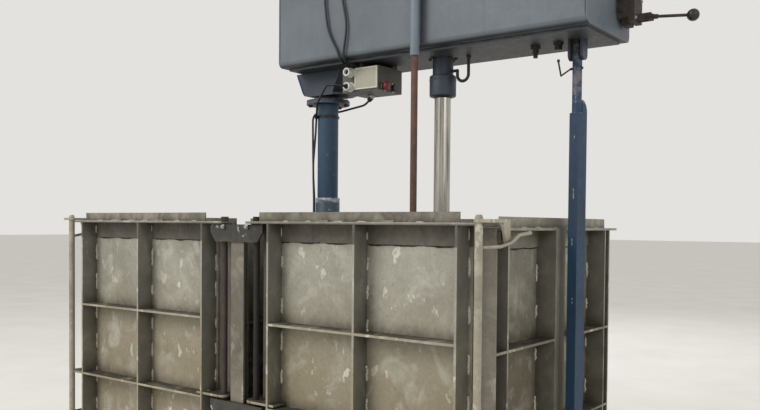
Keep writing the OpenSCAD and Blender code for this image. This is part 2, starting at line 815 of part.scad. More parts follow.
module head_bracket() {
    color(blue) difference() {
        union() {
            bar_z(0, 0, flange_z, flange_z + flange_t, flange_r);
            bar_z(0, 0, flange_z, sole_z, swivel_r);
            difference() {
                translate([0, bracket_half, 0]) rotate([90, 0, 0])
                    linear_extrude(2 * bracket_half) bracket_outline(0);
                translate([0, bracket_half - bracket_t, 0]) rotate([90, 0, 0])
                    linear_extrude(2 * (bracket_half - bracket_t)) bracket_outline(bracket_t);
            }
            translate([0, 0, bracket_z - shelf_t / 2]) linear_extrude(shelf_t) shelf_plan();
        }
        bar_z(0, 0, flange_z - 1, sole_z - 12, swivel_r - column_t);
        for (a = [30 : 60 : 330]) rotate([0, 0, a])
            bar_z(flange_r - 22, 0, flange_z - 1, flange_z + flange_t + 1, 8);
    }
}

// The beam's cross-section, with its lower edges bent to a radius.
module beam_profile(inset) {
    w = beam_w / 2 - inset;
    r = bend_r - inset;
    translate([-w, beam_z + bend_r]) square([2 * w, beam_h - bend_r - inset]);
    translate([-w + r, beam_z + inset]) square([2 * (w - r), bend_r]);
    for (s = [-1, 1]) translate([s * (w - r), beam_z + bend_r]) circle(r = r);
}

module along_x(x0, x1) {
    translate([x0, 0, 0]) rotate([90, 0, 90]) linear_extrude(x1 - x0) children();
}

module head_beam() {
    color(slate) difference() {
        union() {
            difference() {
                along_x(-beam_left + beam_t, beam_right - beam_t) beam_profile(0);
                along_x(-beam_left, beam_right) beam_profile(beam_t);
            }
            slab([-beam_left + 25, -beam_w / 2 + 62, sole_z], [beam_right - 25, beam_w / 2 - 62, beam_z]);
        }
        bar_z(ram_x, 0, sole_z - 1, beam_z + beam_t + 1, neck_r);
        bar_z(ram_x, 0, beam_top - beam_t - 1, beam_top + 1, barrel_r);
    }
}

module beam_end_plates() {
    color(slate) {
        along_x(-beam_left, -beam_left + beam_t) beam_profile(0);
        along_x(beam_right - beam_t, beam_right) beam_profile(0);
    }
}

module cylinder_barrel() {
    color(blue) translate([ram_x, 0, 0]) rotate_extrude()
        polygon([[rod_r + 1, neck_z], [neck_r, neck_z], [neck_r, barrel_z], [barrel_r, barrel_z],
            [barrel_r, barrel_top], [piston_r + run_gap, barrel_top],
            [piston_r + run_gap, barrel_floor], [rod_r + 1, barrel_floor]]);
}

module cylinder_cap() {
    color(blue) {
        bar_z(ram_x, 0, barrel_top, barrel_top + cap_t, barrel_r + 12);
        bar_z(ram_x, 0, barrel_top + cap_t, barrel_top + cap_t + 14, 24);
    }
}

module gland_collar() {
    color(blue) translate([ram_x, 0, 0]) rotate_extrude()
        polygon([[rod_r + run_gap, collar_z], [collar_r - 5, collar_z], [collar_r, collar_z + 5],
            [collar_r, neck_z - 5], [collar_r - 5, neck_z], [rod_r + run_gap, neck_z]]);
}

module ram_rod() {
    color(steel) difference() {
        union() {
            bar_z(ram_x, 0, platen_z + platen_t, piston_z, rod_r);
            bar_z(ram_x, 0, piston_z, piston_z + piston_h, spigot_r);
        }
        bar_y(ram_x, -rod_r - 1, rod_r + 1, platen_z + platen_t + 118, cross_pin_r);
    }
}

module piston() {
    color(steel) translate([ram_x, 0, 0]) {
        difference() {
            bar_z(0, 0, piston_z, piston_z + piston_h - 20, piston_r);
            bar_z(0, 0, piston_z - 1, piston_z + piston_h, spigot_r);
            for (z = [piston_z + 12, piston_z + 40]) difference() {
                bar_z(0, 0, z, z + 8, piston_r + 1);
                bar_z(0, 0, z - 1, z + 9, piston_r - 4);
            }
        }
        difference() {
            bar_z(0, 0, piston_z + piston_h - 20, piston_z + piston_h, spigot_r + 14);
            bar_z(0, 0, piston_z + piston_h - 21, piston_z + piston_h + 1, spigot_r);
        }
    }
}

module platen() {
    z1 = platen_z + platen_t;
    color(rust) difference() {
        union() {
            slab([ram_x - platen_half_x, -platen_half_y, platen_z], [ram_x + platen_half_x, platen_half_y, z1]);
            for (x = [-platen_half_x, -platen_rib_x, platen_rib_x - platen_rib_t, platen_half_x - platen_rib_t])
                slab([ram_x + x, -platen_half_y, z1], [ram_x + x + platen_rib_t, platen_half_y, z1 + platen_rib]);
            for (y = [-platen_half_y, -guide_y - 60, -5, 280, platen_half_y - platen_rib_t])
                slab([ram_x - platen_half_x, y, z1], [ram_x + platen_half_x, y + platen_rib_t, z1 + platen_rib]);
            bar_z(ram_x, 0, z1, z1 + socket_h, socket_r);
            bar_z(guide_x, -guide_y, z1, z1 + guide_lug_h, guide_r + 11);
        }
        bar_z(ram_x, 0, z1, z1 + socket_h + 1, rod_r);
        bar_z(guide_x, -guide_y, z1, z1 + guide_lug_h + 1, guide_r);
        bar_y(ram_x, -socket_r - 1, socket_r + 1, z1 + 118, cross_pin_r);
    }
}

module rod_cross_pin() {
    color(steel) {
        bar_y(ram_x, -socket_r - 12, socket_r + 12, platen_z + platen_t + 118, cross_pin_r);
        bar_y(ram_x, -socket_r - 20, -socket_r - 12, platen_z + platen_t + 118, cross_pin_r + 5);
    }
}

module guide_rod() {
    color(rust) bar_z(guide_x, -guide_y, platen_z + platen_t, guide_top, guide_r);
}

module guide_sleeve() {
    color(blue) difference() {
        union() {
            bar_z(guide_x, -guide_y, sleeve_low, beam_top - 15, guide_r + sleeve_t);
            slab([guide_x - 5, -guide_y, sleeve_low + 62], [guide_x + 5, -beam_w / 2, beam_top - 15]);
        }
        bar_z(guide_x, -guide_y, sleeve_low - 1, beam_top, guide_r + run_gap);
    }
}

module tie_post() {
    w = tie_w / 2;
    color(blue) difference() {
        union() {
            slab([tie_x - w - 20, -tie_front - 15, base_h], [tie_x + w + 20, tie_back + 15, base_h + tie_foot_t]);
            slab([tie_x - w, -tie_front, base_h], [tie_x + w, tie_back, tie_split]);
            bar_z(tie_x, 0, tie_split - 6, sole_z - 20, tie_r);
            translate([tie_x + w - tie_cheek_t, 0, tie_split - 6]) rotate([90, 0, 90])
                linear_extrude(tie_cheek_t) tie_cheek_plan();
            slab([outer_x, -tie_front, tie_link_z - 12], [tie_x - w, tie_back, tie_link_z]);
        }
        slab([tie_x - w + 5, -tie_front + 5, base_h + tie_foot_t], [tie_x + w - 5, tie_back - 5, tie_split - 6]);
        bar_z(tie_x, 0, tie_split - 7, sole_z, stub_r + 0.5);
        bar_x(tie_x - tie_r - 10, tie_x + tie_r + 10, 0, tie_pin_z, tie_pin_r + run_gap);
    }
}

// The post's cheek plate, which rises behind the round tube with a round top.
module tie_cheek_plan() {
    r = tie_back - 14;
    translate([14, 0]) square([r, tie_cheek_h + 6 - r]);
    intersection() {
        translate([14, tie_cheek_h + 6 - r]) circle(r = r);
        translate([14, tie_cheek_h + 5 - r]) square([r + 1, r + 2]);
    }
}

// Two lugs and a stub under the beam that take the top of the tie post.
module tie_socket() {
    lug_in = tie_r + 2.5;
    color(blue) difference() {
        union() {
            for (s = [-1, 1]) {
                slab([tie_x + s * lug_in, -30, tie_lug_z + 30], [tie_x + s * (lug_in + lug_thick), 30, sole_z]);
                bar_x(tie_x + s * lug_in, tie_x + s * (lug_in + lug_thick), 0, tie_lug_z + 30, 30);
            }
            bar_z(tie_x, 0, tie_pin_z - 40, sole_z, stub_r);
        }
        bar_x(tie_x - 60, tie_x + 60, 0, tie_pin_z, tie_pin_r + run_gap);
    }
}

// The pin through the tie post, with its bent wire handle.
module tie_pin() {
    color(dark) {
        bar_x(tie_x - 34, tie_x + tie_pin_tip, 0, tie_pin_z, tie_pin_r);
        bent_pipe([[tie_x - 34, 0, tie_pin_z], [tie_x - 82, 0, tie_pin_z - 27],
            [tie_x - 96, 0, tie_pin_z + 42]], 4);
        bar_z(tie_x - 96, 0, tie_pin_z + 40, tie_pin_z + 52, 6.5);
    }
}

module drain_plug() {
    color(dark) {
        translate([1321, 0, sole_z]) mirror([0, 0, 1]) {
            cylinder(h = 18, r = 24);
            translate([0, 0, 18]) cylinder(h = 20, r = 17, $fn = 6);
            translate([0, 0, 38]) cylinder(h = 20, r = 11);
        }
        translate([1440, 0, sole_z]) mirror([0, 0, 1]) {
            cylinder(h = 12, r = 24);
            translate([0, 0, 12]) cylinder(h = 22, r = 20, $fn = 6);
        }
    }
}

// The looped pipe from the cylinder's neck up to the tank in the beam.
module return_pipe() {
    z = 2392;
    low = 2368;
    r = 8;
    x0 = ram_x + 89;
    bend = 33;
    color(dark) difference() {
        union() {
            bar_x(ram_x + neck_r - 8, x0, 0, z, r);
            bend_ball([x0, 0, z], [1, 0, -1], r);
            bar_z(x0, 0, low, z, r);
            translate([x0 + bend, 0, low]) rotate([90, 0, 0]) mirror([0, 1, 0])
                rotate_extrude(angle = 180) translate([bend, 0]) circle(r = r);
            bar_z(x0 + 2 * bend, 0, low, sole_z, r);
            translate([x0 + 2 * bend, 0, sole_z - 14]) cylinder(h = 14, r = 14, $fn = 6);
        }
        bar_z(ram_x, 0, neck_z - 1, sole_z + 1, neck_r);
    }
}

module valve_body() {
    x0 = beam_right;
    color(rust) {
        slab([x0, valve_y - valve_w / 2, valve_low + 34], [x0 + valve_d * 0.62, valve_y + valve_w / 2, valve_high]);
        slab([x0 + valve_d * 0.62, valve_y - valve_w / 2 + 12, valve_low + 12],
            [x0 + valve_d, valve_y + valve_w / 2 - 12, valve_high - 30]);
        for (z = [valve_low + 70, valve_low + 120])
            bar_y(x0 + valve_d * 0.31, valve_y - valve_w / 2 - 12, valve_y - valve_w / 2, z, 13);
        slab([x0 + 12, valve_y - 30, valve_low], [x0 + valve_d * 0.62, valve_y + 30, valve_low + 34]);
        for (s = [-1, 1])
            slab([x0 + valve_d, valve_y + s * 13, lever_z - 16], [lever_x + 12, valve_y + s * 21, lever_z + 16]);
        bar_y(lever_x, valve_y - 25, valve_y + 25, lever_z, 6);
    }
}

module valve_lever() {
    color(dark) difference() {
        translate([lever_x, valve_y, lever_z]) rotate([0, lever_fall, 0]) {
            rotate([90, 0, 0]) translate([0, 0, -12]) cylinder(h = 24, r = 17);
            translate([14, 0, 0]) rotate([0, 90, 0]) cylinder(h = lever_len - 14 - knob_r + 12, r = lever_r);
            translate([10, 0, 0]) rotate([0, 90, 0]) cylinder(h = 26, r = 11);
        }
        bar_y(lever_x, valve_y - 30, valve_y + 30, lever_z, 6 + run_gap);
    }
}

module lever_knob() {
    color(dark) translate([lever_x, valve_y, lever_z]) rotate([0, lever_fall, 0]) difference() {
        translate([lever_len, 0, 0]) rotate([0, 90, 0]) sphere(r = knob_r);
        rotate([0, 90, 0]) cylinder(h = lever_len - knob_r + 12, r = lever_r);
    }
}

module pressure_pipes() {
    x = beam_right + 26;
    high = beam_top + pipe_rise[1];
    low = beam_top + pipe_rise[0];
    color(dark) difference() {
        union() {
            bent_pipe([[x, valve_y - 30, valve_high], [x, valve_y - 30, low],
                [ram_x + barrel_r + pipe_out, valve_y - 30, low], [ram_x + barrel_r + pipe_out, 0, low],
                [ram_x + barrel_r + pipe_out, 0, barrel_top - pipe_drop],
                [ram_x + barrel_r - 5, 0, barrel_top - pipe_drop]], pipe_r);
            bent_pipe([[x, valve_y + 30, valve_high], [x, valve_y + 30, high],
                [pump_x, valve_y + 30, high], [pump_x, motor_y + pump_r - 8, high]], pipe_r);
        }
        bar_z(ram_x, 0, barrel_top - pipe_drop - 30, barrel_top - pipe_drop + 30, barrel_r);
        bar_x(pump_x - 40, pump_x + 40, motor_y, motor_z, pump_r);
    }
}

module motor() {
    color(slate) {
        difference() {
            union() {
                bar_x(motor_x, motor_x + motor_len, motor_y, motor_z, motor_r - 12);
                for (a = [0 : 15 : 345])
                    translate([motor_x + 30, motor_y, motor_z]) rotate([a, 0, 0])
                        translate([0, -2.5, 0]) cube([motor_len - 60, 5, motor_r]);
                bar_x(motor_x, motor_x + 30, motor_y, motor_z, motor_r);
                bar_x(motor_x - 60, motor_x, motor_y, motor_z, motor_r - 2);
                bar_x(motor_x + motor_len - 30, motor_x + motor_len, motor_y, motor_z, motor_r + 8);
                slab([motor_x + box_at, motor_y - box_out, motor_z - box_low],
                    [motor_x + box_at + box_w, motor_y - motor_r + 20, motor_z - box_high]);
                for (x = [motor_x + foot_at, motor_x + motor_len - foot_at - foot_w], s = [-1, 1])
                    slab([x, motor_y + s * foot_in, beam_top], [x + foot_w, motor_y + s * foot_out, motor_z - foot_high]);
            }
            bar_x(motor_x - 61, motor_x - 8, motor_y, motor_z, 30);
        }
    }
}

module pump() {
    color(dark) {
        bar_x(motor_x + motor_len, motor_x + motor_len + pump_flange, motor_y, motor_z, pump_r + 15);
        bar_x(motor_x + motor_len + pump_flange, motor_x + motor_len + pump_len, motor_y, motor_z, pump_r);
        slab([pump_x, motor_y - 20, beam_top], [pump_x + pump_foot, motor_y + 20, motor_z - pump_r + 15]);
    }
}

module filler_cap() {
    color(dark) translate([1400, -90, beam_top]) {
        cylinder(h = 34, r = 30);
        translate([0, 0, 34]) cylinder(h = 26, r = 42);
    }
}

module control_box() {
    color(slate) difference() {
        union() {
            slab([ctrl_x, -ctrl_y, ctrl_z], [ctrl_x + ctrl_w, -ctrl_y + ctrl_d, ctrl_z + ctrl_h]);
            slab([duct_x[0], -duct_y, ctrl_z + ctrl_h], [duct_x[1], -duct_y + 60, sole_z]);
            slab([ctrl_x + 20, 0, ctrl_z + ctrl_h], [ctrl_x + ctrl_w - 20, 40, sole_z]);
        }
        slab([ctrl_x + 3, -ctrl_y + 3, ctrl_z + 3], [ctrl_x + ctrl_w - 3, -ctrl_y + ctrl_d - 3, ctrl_z + ctrl_h - 3]);
        for (y = [-stop_y, -start_y])
            bar_x(ctrl_x + ctrl_w - 5, ctrl_x + ctrl_w + 1, y, button_z, stem_r + run_gap);
    }
}

module control_cover() {
    color([0.80, 0.79, 0.70])
        slab([cover_x, -ctrl_y - 8, ctrl_z + 8], [ctrl_x + ctrl_w, -ctrl_y, ctrl_z + ctrl_h - 2]);
}

// Two glands on the front and a slanted one under the box.
module cable_glands() {
    color([0.85, 0.85, 0.84]) {
        for (z = gland_z) difference() {
            union() {
                bar_y(gland_x, -ctrl_y, -ctrl_y - 6, z, gland_r + gland_rim);
                translate([gland_x, -ctrl_y - 6, z]) rotate([90, 0, 0]) cylinder(h = 14, r = gland_r, $fn = 6);
                bar_y(gland_x, -ctrl_y - 20, -ctrl_y - gland_len, z, gland_r - 2);
            }
            bar_y(gland_x, -ctrl_y - gland_len - 1, -ctrl_y - gland_len + 20, z, gland_bore);
        }
        difference() {
            union() {
                bar_z(inter_gland.x, inter_gland.y, ctrl_z - 8, ctrl_z, 15);
                rod_between(inter_gland, inter_gland + 26 * inter_lean, cable_r + 7);
            }
            rod_between(inter_gland + 7.5 * inter_lean, inter_gland + 28 * inter_lean, cable_r + 2);
            slab([inter_gland.x - 40, -30, ctrl_z], [inter_gland.x + 40, 30, ctrl_z + 20]);
        }
    }
}

module push_button(y, r, cap) {
    bar_x(ctrl_x + ctrl_w - 9, ctrl_x + ctrl_w + button_gap, y, button_z, stem_r);
    bar_x(ctrl_x + ctrl_w + button_gap, ctrl_x + ctrl_w + button_gap + cap, y, button_z, r);
}

module stop_button() { color([0.55, 0.13, 0.13]) push_button(-stop_y, stop_r, 20); }

module start_button() { color(dark) push_button(-start_y, start_r, 14); }

module supply_cable() {
    color(dark) swept_cable(bent_route(supply_corners, supply_bends), cable_r);
}

module interlock_cable() {
    color(dark) swept_cable(bent_route(interlock_corners, interlock_bends), cable_r);
}

module motor_cable_a() {
    color(dark) swept_cable(motor_route_a, cable_r);
}

module motor_cable_b() {
    color(dark) swept_cable(motor_route_b, cable_r);
}

// A thin band round a tube with a closed loop for each cable it holds.
module cable_band(tube_r, z, held) {
    difference() {
        union() {
            bar_z(0, 0, z, z + band_h, tube_r + band_r);
            for (h = held) rod_between(h[0] - 7 * h[1], h[0] + 7 * h[1], cable_r + clip_wall);
        }
        bar_z(0, 0, z - 12, z + band_h + 12, tube_r);
        for (h = held) rod_between(h[0] - 9 * h[1], h[0] + 9 * h[1], cable_r + 1.2);
    }
}

module cable_clips() {
    color(dark) {
        cable_band(swivel_r, upper_band_z, [supply_hold]);
        cable_band(column_r, lower_band_z, [supply_low, interlock_low]);
    }
}

module inlet_box() {
    color(dark) difference() {
        union() {
            slab([-55, -inlet_front, inlet_z], [55, -inlet_front + 80, inlet_z + inlet_h]);
            slab([-20, -inlet_front + 80, inlet_z + 30], [20, -column_r + 8, inlet_z + inlet_h - 30]);
        }
        slab([-51, -inlet_front + 4, inlet_z + 4], [51, -inlet_front + 76, inlet_z + inlet_h - 4]);
        bar_z(0, 0, inlet_z, inlet_z + inlet_h, column_r);
    }
}

base_frame();
right_floor();
left_floor();
right_outer_wall();
right_inner_wall();
right_rear_wall();
right_front_frame();
left_outer_wall();
left_inner_wall();
left_rear_wall();
left_front_frame();
hinge_post();
hinge_brackets();
right_hinge_pin();
left_hinge_pin();
right_door();
left_door();
right_lock_rod();
left_lock_rod();
right_lock_handle();
left_lock_handle();
column_post();
column_tube();
column_bolts();
flange_bolts();
head_bracket();
head_beam();
beam_end_plates();
cylinder_barrel();
cylinder_cap();
gland_collar();
ram_rod();
piston();
platen();
rod_cross_pin();
guide_rod();
guide_sleeve();
tie_post();
tie_socket();
tie_pin();
drain_plug();
return_pipe();
valve_body();
valve_lever();
lever_knob();
pressure_pipes();
motor();
pump();
filler_cap();
control_box();
control_cover();
cable_glands();
start_button();
stop_button();
supply_cable();
interlock_cable();
motor_cable_a();
motor_cable_b();
cable_clips();
inlet_box();
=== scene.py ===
import math
import random

import bmesh
import bpy
from mathutils import Matrix, Vector


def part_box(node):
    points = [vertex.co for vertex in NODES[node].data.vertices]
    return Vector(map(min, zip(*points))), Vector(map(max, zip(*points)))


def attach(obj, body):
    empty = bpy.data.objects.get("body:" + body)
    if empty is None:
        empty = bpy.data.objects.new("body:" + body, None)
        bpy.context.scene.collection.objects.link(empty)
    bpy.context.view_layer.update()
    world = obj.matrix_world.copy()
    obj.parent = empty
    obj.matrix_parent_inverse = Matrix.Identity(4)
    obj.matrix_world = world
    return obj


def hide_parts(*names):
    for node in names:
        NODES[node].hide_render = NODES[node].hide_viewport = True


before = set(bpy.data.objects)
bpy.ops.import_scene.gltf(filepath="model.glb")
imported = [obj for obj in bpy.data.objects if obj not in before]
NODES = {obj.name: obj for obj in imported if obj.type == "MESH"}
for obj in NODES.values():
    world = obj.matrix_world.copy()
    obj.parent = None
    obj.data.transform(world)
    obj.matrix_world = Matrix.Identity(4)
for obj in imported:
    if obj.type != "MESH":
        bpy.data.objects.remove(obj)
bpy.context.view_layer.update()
rng = random.Random(11)
scene = bpy.context.scene


def middle(node):
    """The middle of a CAD node's box."""
    low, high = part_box(node)
    return (low + high) / 2


# Units and directions
MM = 0.001
UP = Vector((0, 0, 1))
DOWN = Vector((0, 0, -1))
RIGHT_WAY = Vector((1, 0, 0))
FRONT_WAY = Vector((0, -1, 0))
BACK_WAY = Vector((0, 1, 0))


# Chamber and door sizes, in metres, from the frame where it has them
floor_low, floor_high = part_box("right_floor")
MIDDLE = (floor_low.x + floor_high.x) / 2
HALF_W = (floor_high.x - floor_low.x) / 2
HALF_L = floor_high.y
BASE_TOP = floor_low.z
WALL_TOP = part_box("right_front_frame")[1].z
FRAME_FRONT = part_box("right_front_frame")[0].y
WALL_T = 0.006
WALL_SKIN = MIDDLE + HALF_W + WALL_T
RIB_T = 0.012
RIB_D = 0.100
STILE = 0.545
LIP_IN = 0.029
LIP_T = 0.006
BAND_T = 0.005
BAND_DROP = 0.102
DOOR_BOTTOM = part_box("right_door")[0].z
DOOR_GAP = 0.001
DOOR_TOP = WALL_TOP + 0.020
BAND_LOW = DOOR_TOP - BAND_DROP
WALL_BAND_LOW = WALL_TOP - BAND_DROP + 0.007
DOOR_SKIN = FRAME_FRONT - DOOR_GAP - WALL_T
DOOR_FRONT = DOOR_SKIN - RIB_D
DOOR_RIBS = (0.245, 0.669, 1.093)
WALL_RIBS = (0.214, 0.634, 1.054)
WALL_STILES = (-0.525, -0.045, 0.569)
LUG_TOPS = (0.688, 0.228)
LUG_END = 0.235
LUG_FRONT = 0.048
PIN_AT = middle("right_hinge_pin")
BRACKET_TOP = DOOR_TOP - RIB_T - 0.004
BRACKET_TOPS = (BRACKET_TOP, 0.660, 0.200)
BRACKET_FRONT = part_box("hinge_brackets")[0].y
BRACKET_BOLT_X = 0.087


# Weld and seam sizes
HAIR = 0.001
BEAD_OFF = 0.0015
ROOT = RIB_T / 2 + BEAD_OFF
RUN_END = 0.02
SEAM_PROUD = 0.0022
SEAM_DROP = 0.002
SEAM_END = 0.008


# Column, head and fitting sizes
beam_low, beam_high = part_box("beam_end_plates")
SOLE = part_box("head_beam")[0].z
SOLE_HALF = 0.198
SOLE_T = 0.012
END_SEAM = 0.0095
FLANGE_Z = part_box("head_bracket")[0].z
FLANGE_BEAD = 0.0135
SWIVEL_BEAD_R = 0.0615
FOOT_BEAD = 0.0165
FOOT_BEAD_R = 0.072
SHELF_Z = 2.342
SHELF_HALF_LOW = 0.109
SHELF_HALF_HIGH = 0.161
SHELF_HALF_Y = 0.0935
CABLE_TIES = (1.30, 0.92)
CABLE_TIE_R = 0.073
NECK_BOLTS_R = 0.069
CAP_BOLTS_R = 0.076
COLLAR_SCREWS_R = 0.0698
POST_X = middle("tie_socket").x
POST_FACE = -0.0302
POST_FOOT = 0.133
POST_BEAD_X = 0.024
POST_SPECKS = ((1.993, 2.021, 0.003), (1.712, 1.773, 0.002), (1.496, 1.538, -0.002), (1.22, 1.26, 0.004))
TUBE_FACE = -0.0222
TUBE_FOOT = 2.1215
SOCKET_HALF = 0.031
LEVER_AT = Vector((1.825, 0.150, 2.563))
LEVER_NUT_OUT = 0.025
VALVE_FACE = 0.080
VALVE_BOLT_YS = (0.112, 0.188)
VALVE_BOLT_ZS = (2.560, 2.650)
PORT_X = 0.026
PORT_YS = (0.120, 0.180)
SIDE_NUT_X = 0.0248
SIDE_NUT_ZS = (2.600, 2.650)
MOTOR_Y = 0.060
MOTOR_DROP = 0.103
COWL_RINGS = (0.034, 0.047, 0.060, 0.073, 0.086)
MOTOR_BOX_XS = (0.213, 0.317)
MOTOR_BOX_DROPS = (0.082, 0.022)
FILLER_CAP_R = 0.0418


# Control box sizes
box_low, box_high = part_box("control_box")
cover_low, cover_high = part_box("control_cover")
BUTTON_Z = middle("stop_button").z
BUTTON_RIM = ((0.0105, 0), (0.0255, 0), (0.0248, 0.0012), (0.0105, 0.0012))
BOX_SCREW_X = 0.249
BOX_SCREW_ZS = (2.322, 2.428)
GLAND_X = 0.300
GLAND_ZS = (2.337, 2.415)
GLAND_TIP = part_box("cable_glands")[0].y
GLAND_TEETH = 18
GLAND_TEETH_R = 0.0218
SLANT_AT = Vector((0.321, 0, 2.303))
SLANT = Vector((-0.786, 0.061, -0.614)).normalized()
CABLE_R = 0.006
CABLE_FIT = CABLE_R + 0.0002


# Camera
YAW = math.radians(36.743)
PITCH = math.radians(-1.527)
ROLL = math.radians(0.479)
CAM_AT = Vector((3.0875, -3.6185, 1.5891))
SENSOR = 36
LENS = 38.288
SHIFT_UP = 0.0541
FAR = 200
forward = Vector((-math.sin(YAW) * math.cos(PITCH), math.cos(YAW) * math.cos(PITCH), math.sin(PITCH)))
level = Vector((math.cos(YAW), math.sin(YAW), 0))
upward = level.cross(forward)
cam_x = level * math.cos(ROLL) + upward * math.sin(ROLL)
cam_y = upward * math.cos(ROLL) - level * math.sin(ROLL)
cam_data = bpy.data.cameras.new("camera")
cam_data.sensor_fit = "HORIZONTAL"
cam_data.sensor_width = SENSOR
cam_data.lens = LENS
cam_data.shift_y = SHIFT_UP
cam_data.clip_end = FAR
camera = bpy.data.objects.new("camera", cam_data)
scene.collection.objects.link(camera)
camera.matrix_world = Matrix((
    (cam_x.x, cam_y.x, -forward.x, CAM_AT.x),
    (cam_x.y, cam_y.y, -forward.y, CAM_AT.y),
    (cam_x.z, cam_y.z, -forward.z, CAM_AT.z),
    (0, 0, 0, 1)))
scene.camera = camera


# Material building
def tone(r, g, b):
    """A colour given as it looks, 0 to 255, in Blender's linear values."""
    shares = [c / 255 for c in (r, g, b)]
    linear = [c / 12.92 if c <= 0.04045 else ((c + 0.055) / 1.055) ** 2.4 for c in shares]
    return (*linear, 1.0)


class Shader:
    """Builds one material's nodes."""

    def __init__(self, name):
        self.mat = bpy.data.materials.new(name)
        self.mat.use_nodes = True
        self.nodes = self.mat.node_tree.nodes
        self.links = self.mat.node_tree.links
        self.bsdf = self.nodes["Principled BSDF"]
        self.coords = self.nodes.new("ShaderNodeTexCoord").outputs["Object"]

    def put(self, socket, value):
        """Links another node's output to a socket, or sets the socket to a plain value."""
        if isinstance(value, bpy.types.NodeSocket):
            self.links.new(value, socket)
        else:
            socket.default_value = value

    def mapped(self, scale):
        n = self.nodes.new("ShaderNodeMapping")
        self.links.new(self.coords, n.inputs["Vector"])
        n.inputs["Scale"].default_value = scale
        return n.outputs["Vector"]

    def noise(self, scale, detail, rough, stretch=(1, 1, 1), distortion=0.0):
        n = self.nodes.new("ShaderNodeTexNoise")
        self.links.new(self.mapped(stretch), n.inputs["Vector"])
        n.inputs["Scale"].default_value = scale
        n.inputs["Detail"].default_value = detail
        n.inputs["Roughness"].default_value = rough
        n.inputs["Distortion"].default_value = distortion
        return n.outputs["Fac"]

    def cells(self, scale):
        n = self.nodes.new("ShaderNodeTexVoronoi")
        self.links.new(self.mapped((1, 1, 1)), n.inputs["Vector"])
        n.inputs["Scale"].default_value = scale
        return n.outputs["Color"]

    def ramp(self, value, low, high, out_low=0.0, out_high=1.0):
        """out_low where the value is low, out_high where it is high, and between them in between."""
        n = self.nodes.new("ShaderNodeMapRange")
        self.put(n.inputs["Value"], value)
        for key, v in (("From Min", low), ("From Max", high), ("To Min", out_low), ("To Max", out_high)):
            n.inputs[key].default_value = v
        n.clamp = True
        return n.outputs["Result"]

    def math(self, how, a, b=0.5):
        n = self.nodes.new("ShaderNodeMath")
        n.operation = how
        self.put(n.inputs[0], a)
        self.put(n.inputs[1], b)
        return n.outputs["Value"]

    def both(self, a, b):
        return self.math("MULTIPLY", a, b)

    def mix(self, factor, a, b, blend="MIX"):
        n = self.nodes.new("ShaderNodeMix")
        n.data_type = "RGBA"
        n.blend_type = blend
        self.put(n.inputs[0], factor)
        self.put(n.inputs[6], a)
        self.put(n.inputs[7], b)
        return n.outputs[2]

    def facing(self, axis):
        """How far a surface faces along X, Y or Z, from -1 to 1."""
        g = self.nodes.new("ShaderNodeNewGeometry")
        s = self.nodes.new("ShaderNodeSeparateXYZ")
        self.links.new(g.outputs["Normal"], s.inputs[0])
        return s.outputs[axis]

    def place(self, axis):
        """Where a point lies along X, Y or Z, in metres."""
        s = self.nodes.new("ShaderNodeSeparateXYZ")
        self.links.new(self.coords, s.inputs[0])
        return s.outputs[axis]

    def between(self, low, high, outside=0.004, inside=0.006):
        """1 between two heights, fading to 0 a little outside each of them."""
        rising = self.ramp(self.place("Z"), low - outside, low + inside)
        return self.both(rising, self.ramp(self.place("Z"), high + outside, high - inside))

    def corners(self, distance):
        """Ambient occlusion, which the materials use to paint shade: 1 in the open, towards 0 deep in a
        corner.
        """
        n = self.nodes.new("ShaderNodeAmbientOcclusion")
        n.samples = 6
        n.inputs["Distance"].default_value = distance
        return n.outputs["AO"]

    def bump(self, height, strength, distance):
        n = self.nodes.new("ShaderNodeBump")
        n.inputs["Strength"].default_value = strength
        n.inputs["Distance"].default_value = distance
        self.put(n.inputs["Height"], height)
        return n.outputs["Normal"]

    def done(self, colour, rough, metallic=0.0, normal=None):
        self.put(self.bsdf.inputs["Base Color"], colour)
        self.put(self.bsdf.inputs["Roughness"], rough)
        self.put(self.bsdf.inputs["Metallic"], metallic)
        if normal is not None:
            self.put(self.bsdf.inputs["Normal"], normal)
        return self.mat


# Dirt and wear colours, and colours of painted shade
FLECK = tone(208, 208, 194)
PITS = tone(74, 70, 62)
# Painted shade on the sides of ribs and stiles
RIB_SIDE_SHADE = tone(84, 84, 77)
# Painted shadow of a door's top flange on its raised band
BAND_SHADOW = tone(58, 51, 45)
LIP_SOOT = tone(92, 80, 68)
# Painted shade in zinc corners, made patchy like grime
CORNER_SHADE_AND_GRIME = tone(58, 52, 44)
LEDGE_DIRT = tone(50, 45, 37)
# Painted shade on faces turned downwards
UNDERSIDE_SHADE = tone(30, 28, 28)
# Painted shade in the corners of painted parts
PAINT_CORNER_SHADE = tone(30, 30, 30)
DUST = tone(120, 112, 100)
OILY = tone(84, 81, 77)
OIL_FILM = tone(70, 68, 66)


# Heights where the zinc starts to turn browner and where it is fully so
TINT_TOP = 1.35
TINT_FULL = 0.85


# Materials
def zinc_flecks(s, colour, broad, open_to_light, amount):
    """Large and small pale flecks, kept to the open so that corners stay darker as painted shade."""
    spots = s.ramp(s.noise(14, 3, 0.6, stretch=(1, 1, 0.6), distortion=0.25), 0.620, 0.645)
    dots = s.ramp(s.noise(42, 2, 0.5, stretch=(1, 1, 0.5)), 0.70, 0.73)
    bright = s.both(s.math("MAXIMUM", spots, dots), s.ramp(broad, 0.4, 0.6, 0.35, 1.0))
    return s.mix(s.both(s.both(bright, open_to_light), amount), colour, FLECK)


def zinc_wear(s, colour, stained):
    """Run marks, pits and the crystals of hot-dip zinc."""
    streaks = s.ramp(s.noise(24, 4, 0.6, stretch=(1, 1, 0.08)), 0.54, 0.74)
    colour = s.mix(s.both(streaks, 0.28), colour, stained)
    pits = s.ramp(s.noise(60, 4, 0.7), 0.64, 0.68)
    colour = s.mix(s.both(pits, 0.45), colour, PITS)
    crystals = s.ramp(s.cells(70), 0.0, 1.0, 0.92, 1.07)
    return s.mix(1.0, colour, crystals, "MULTIPLY")


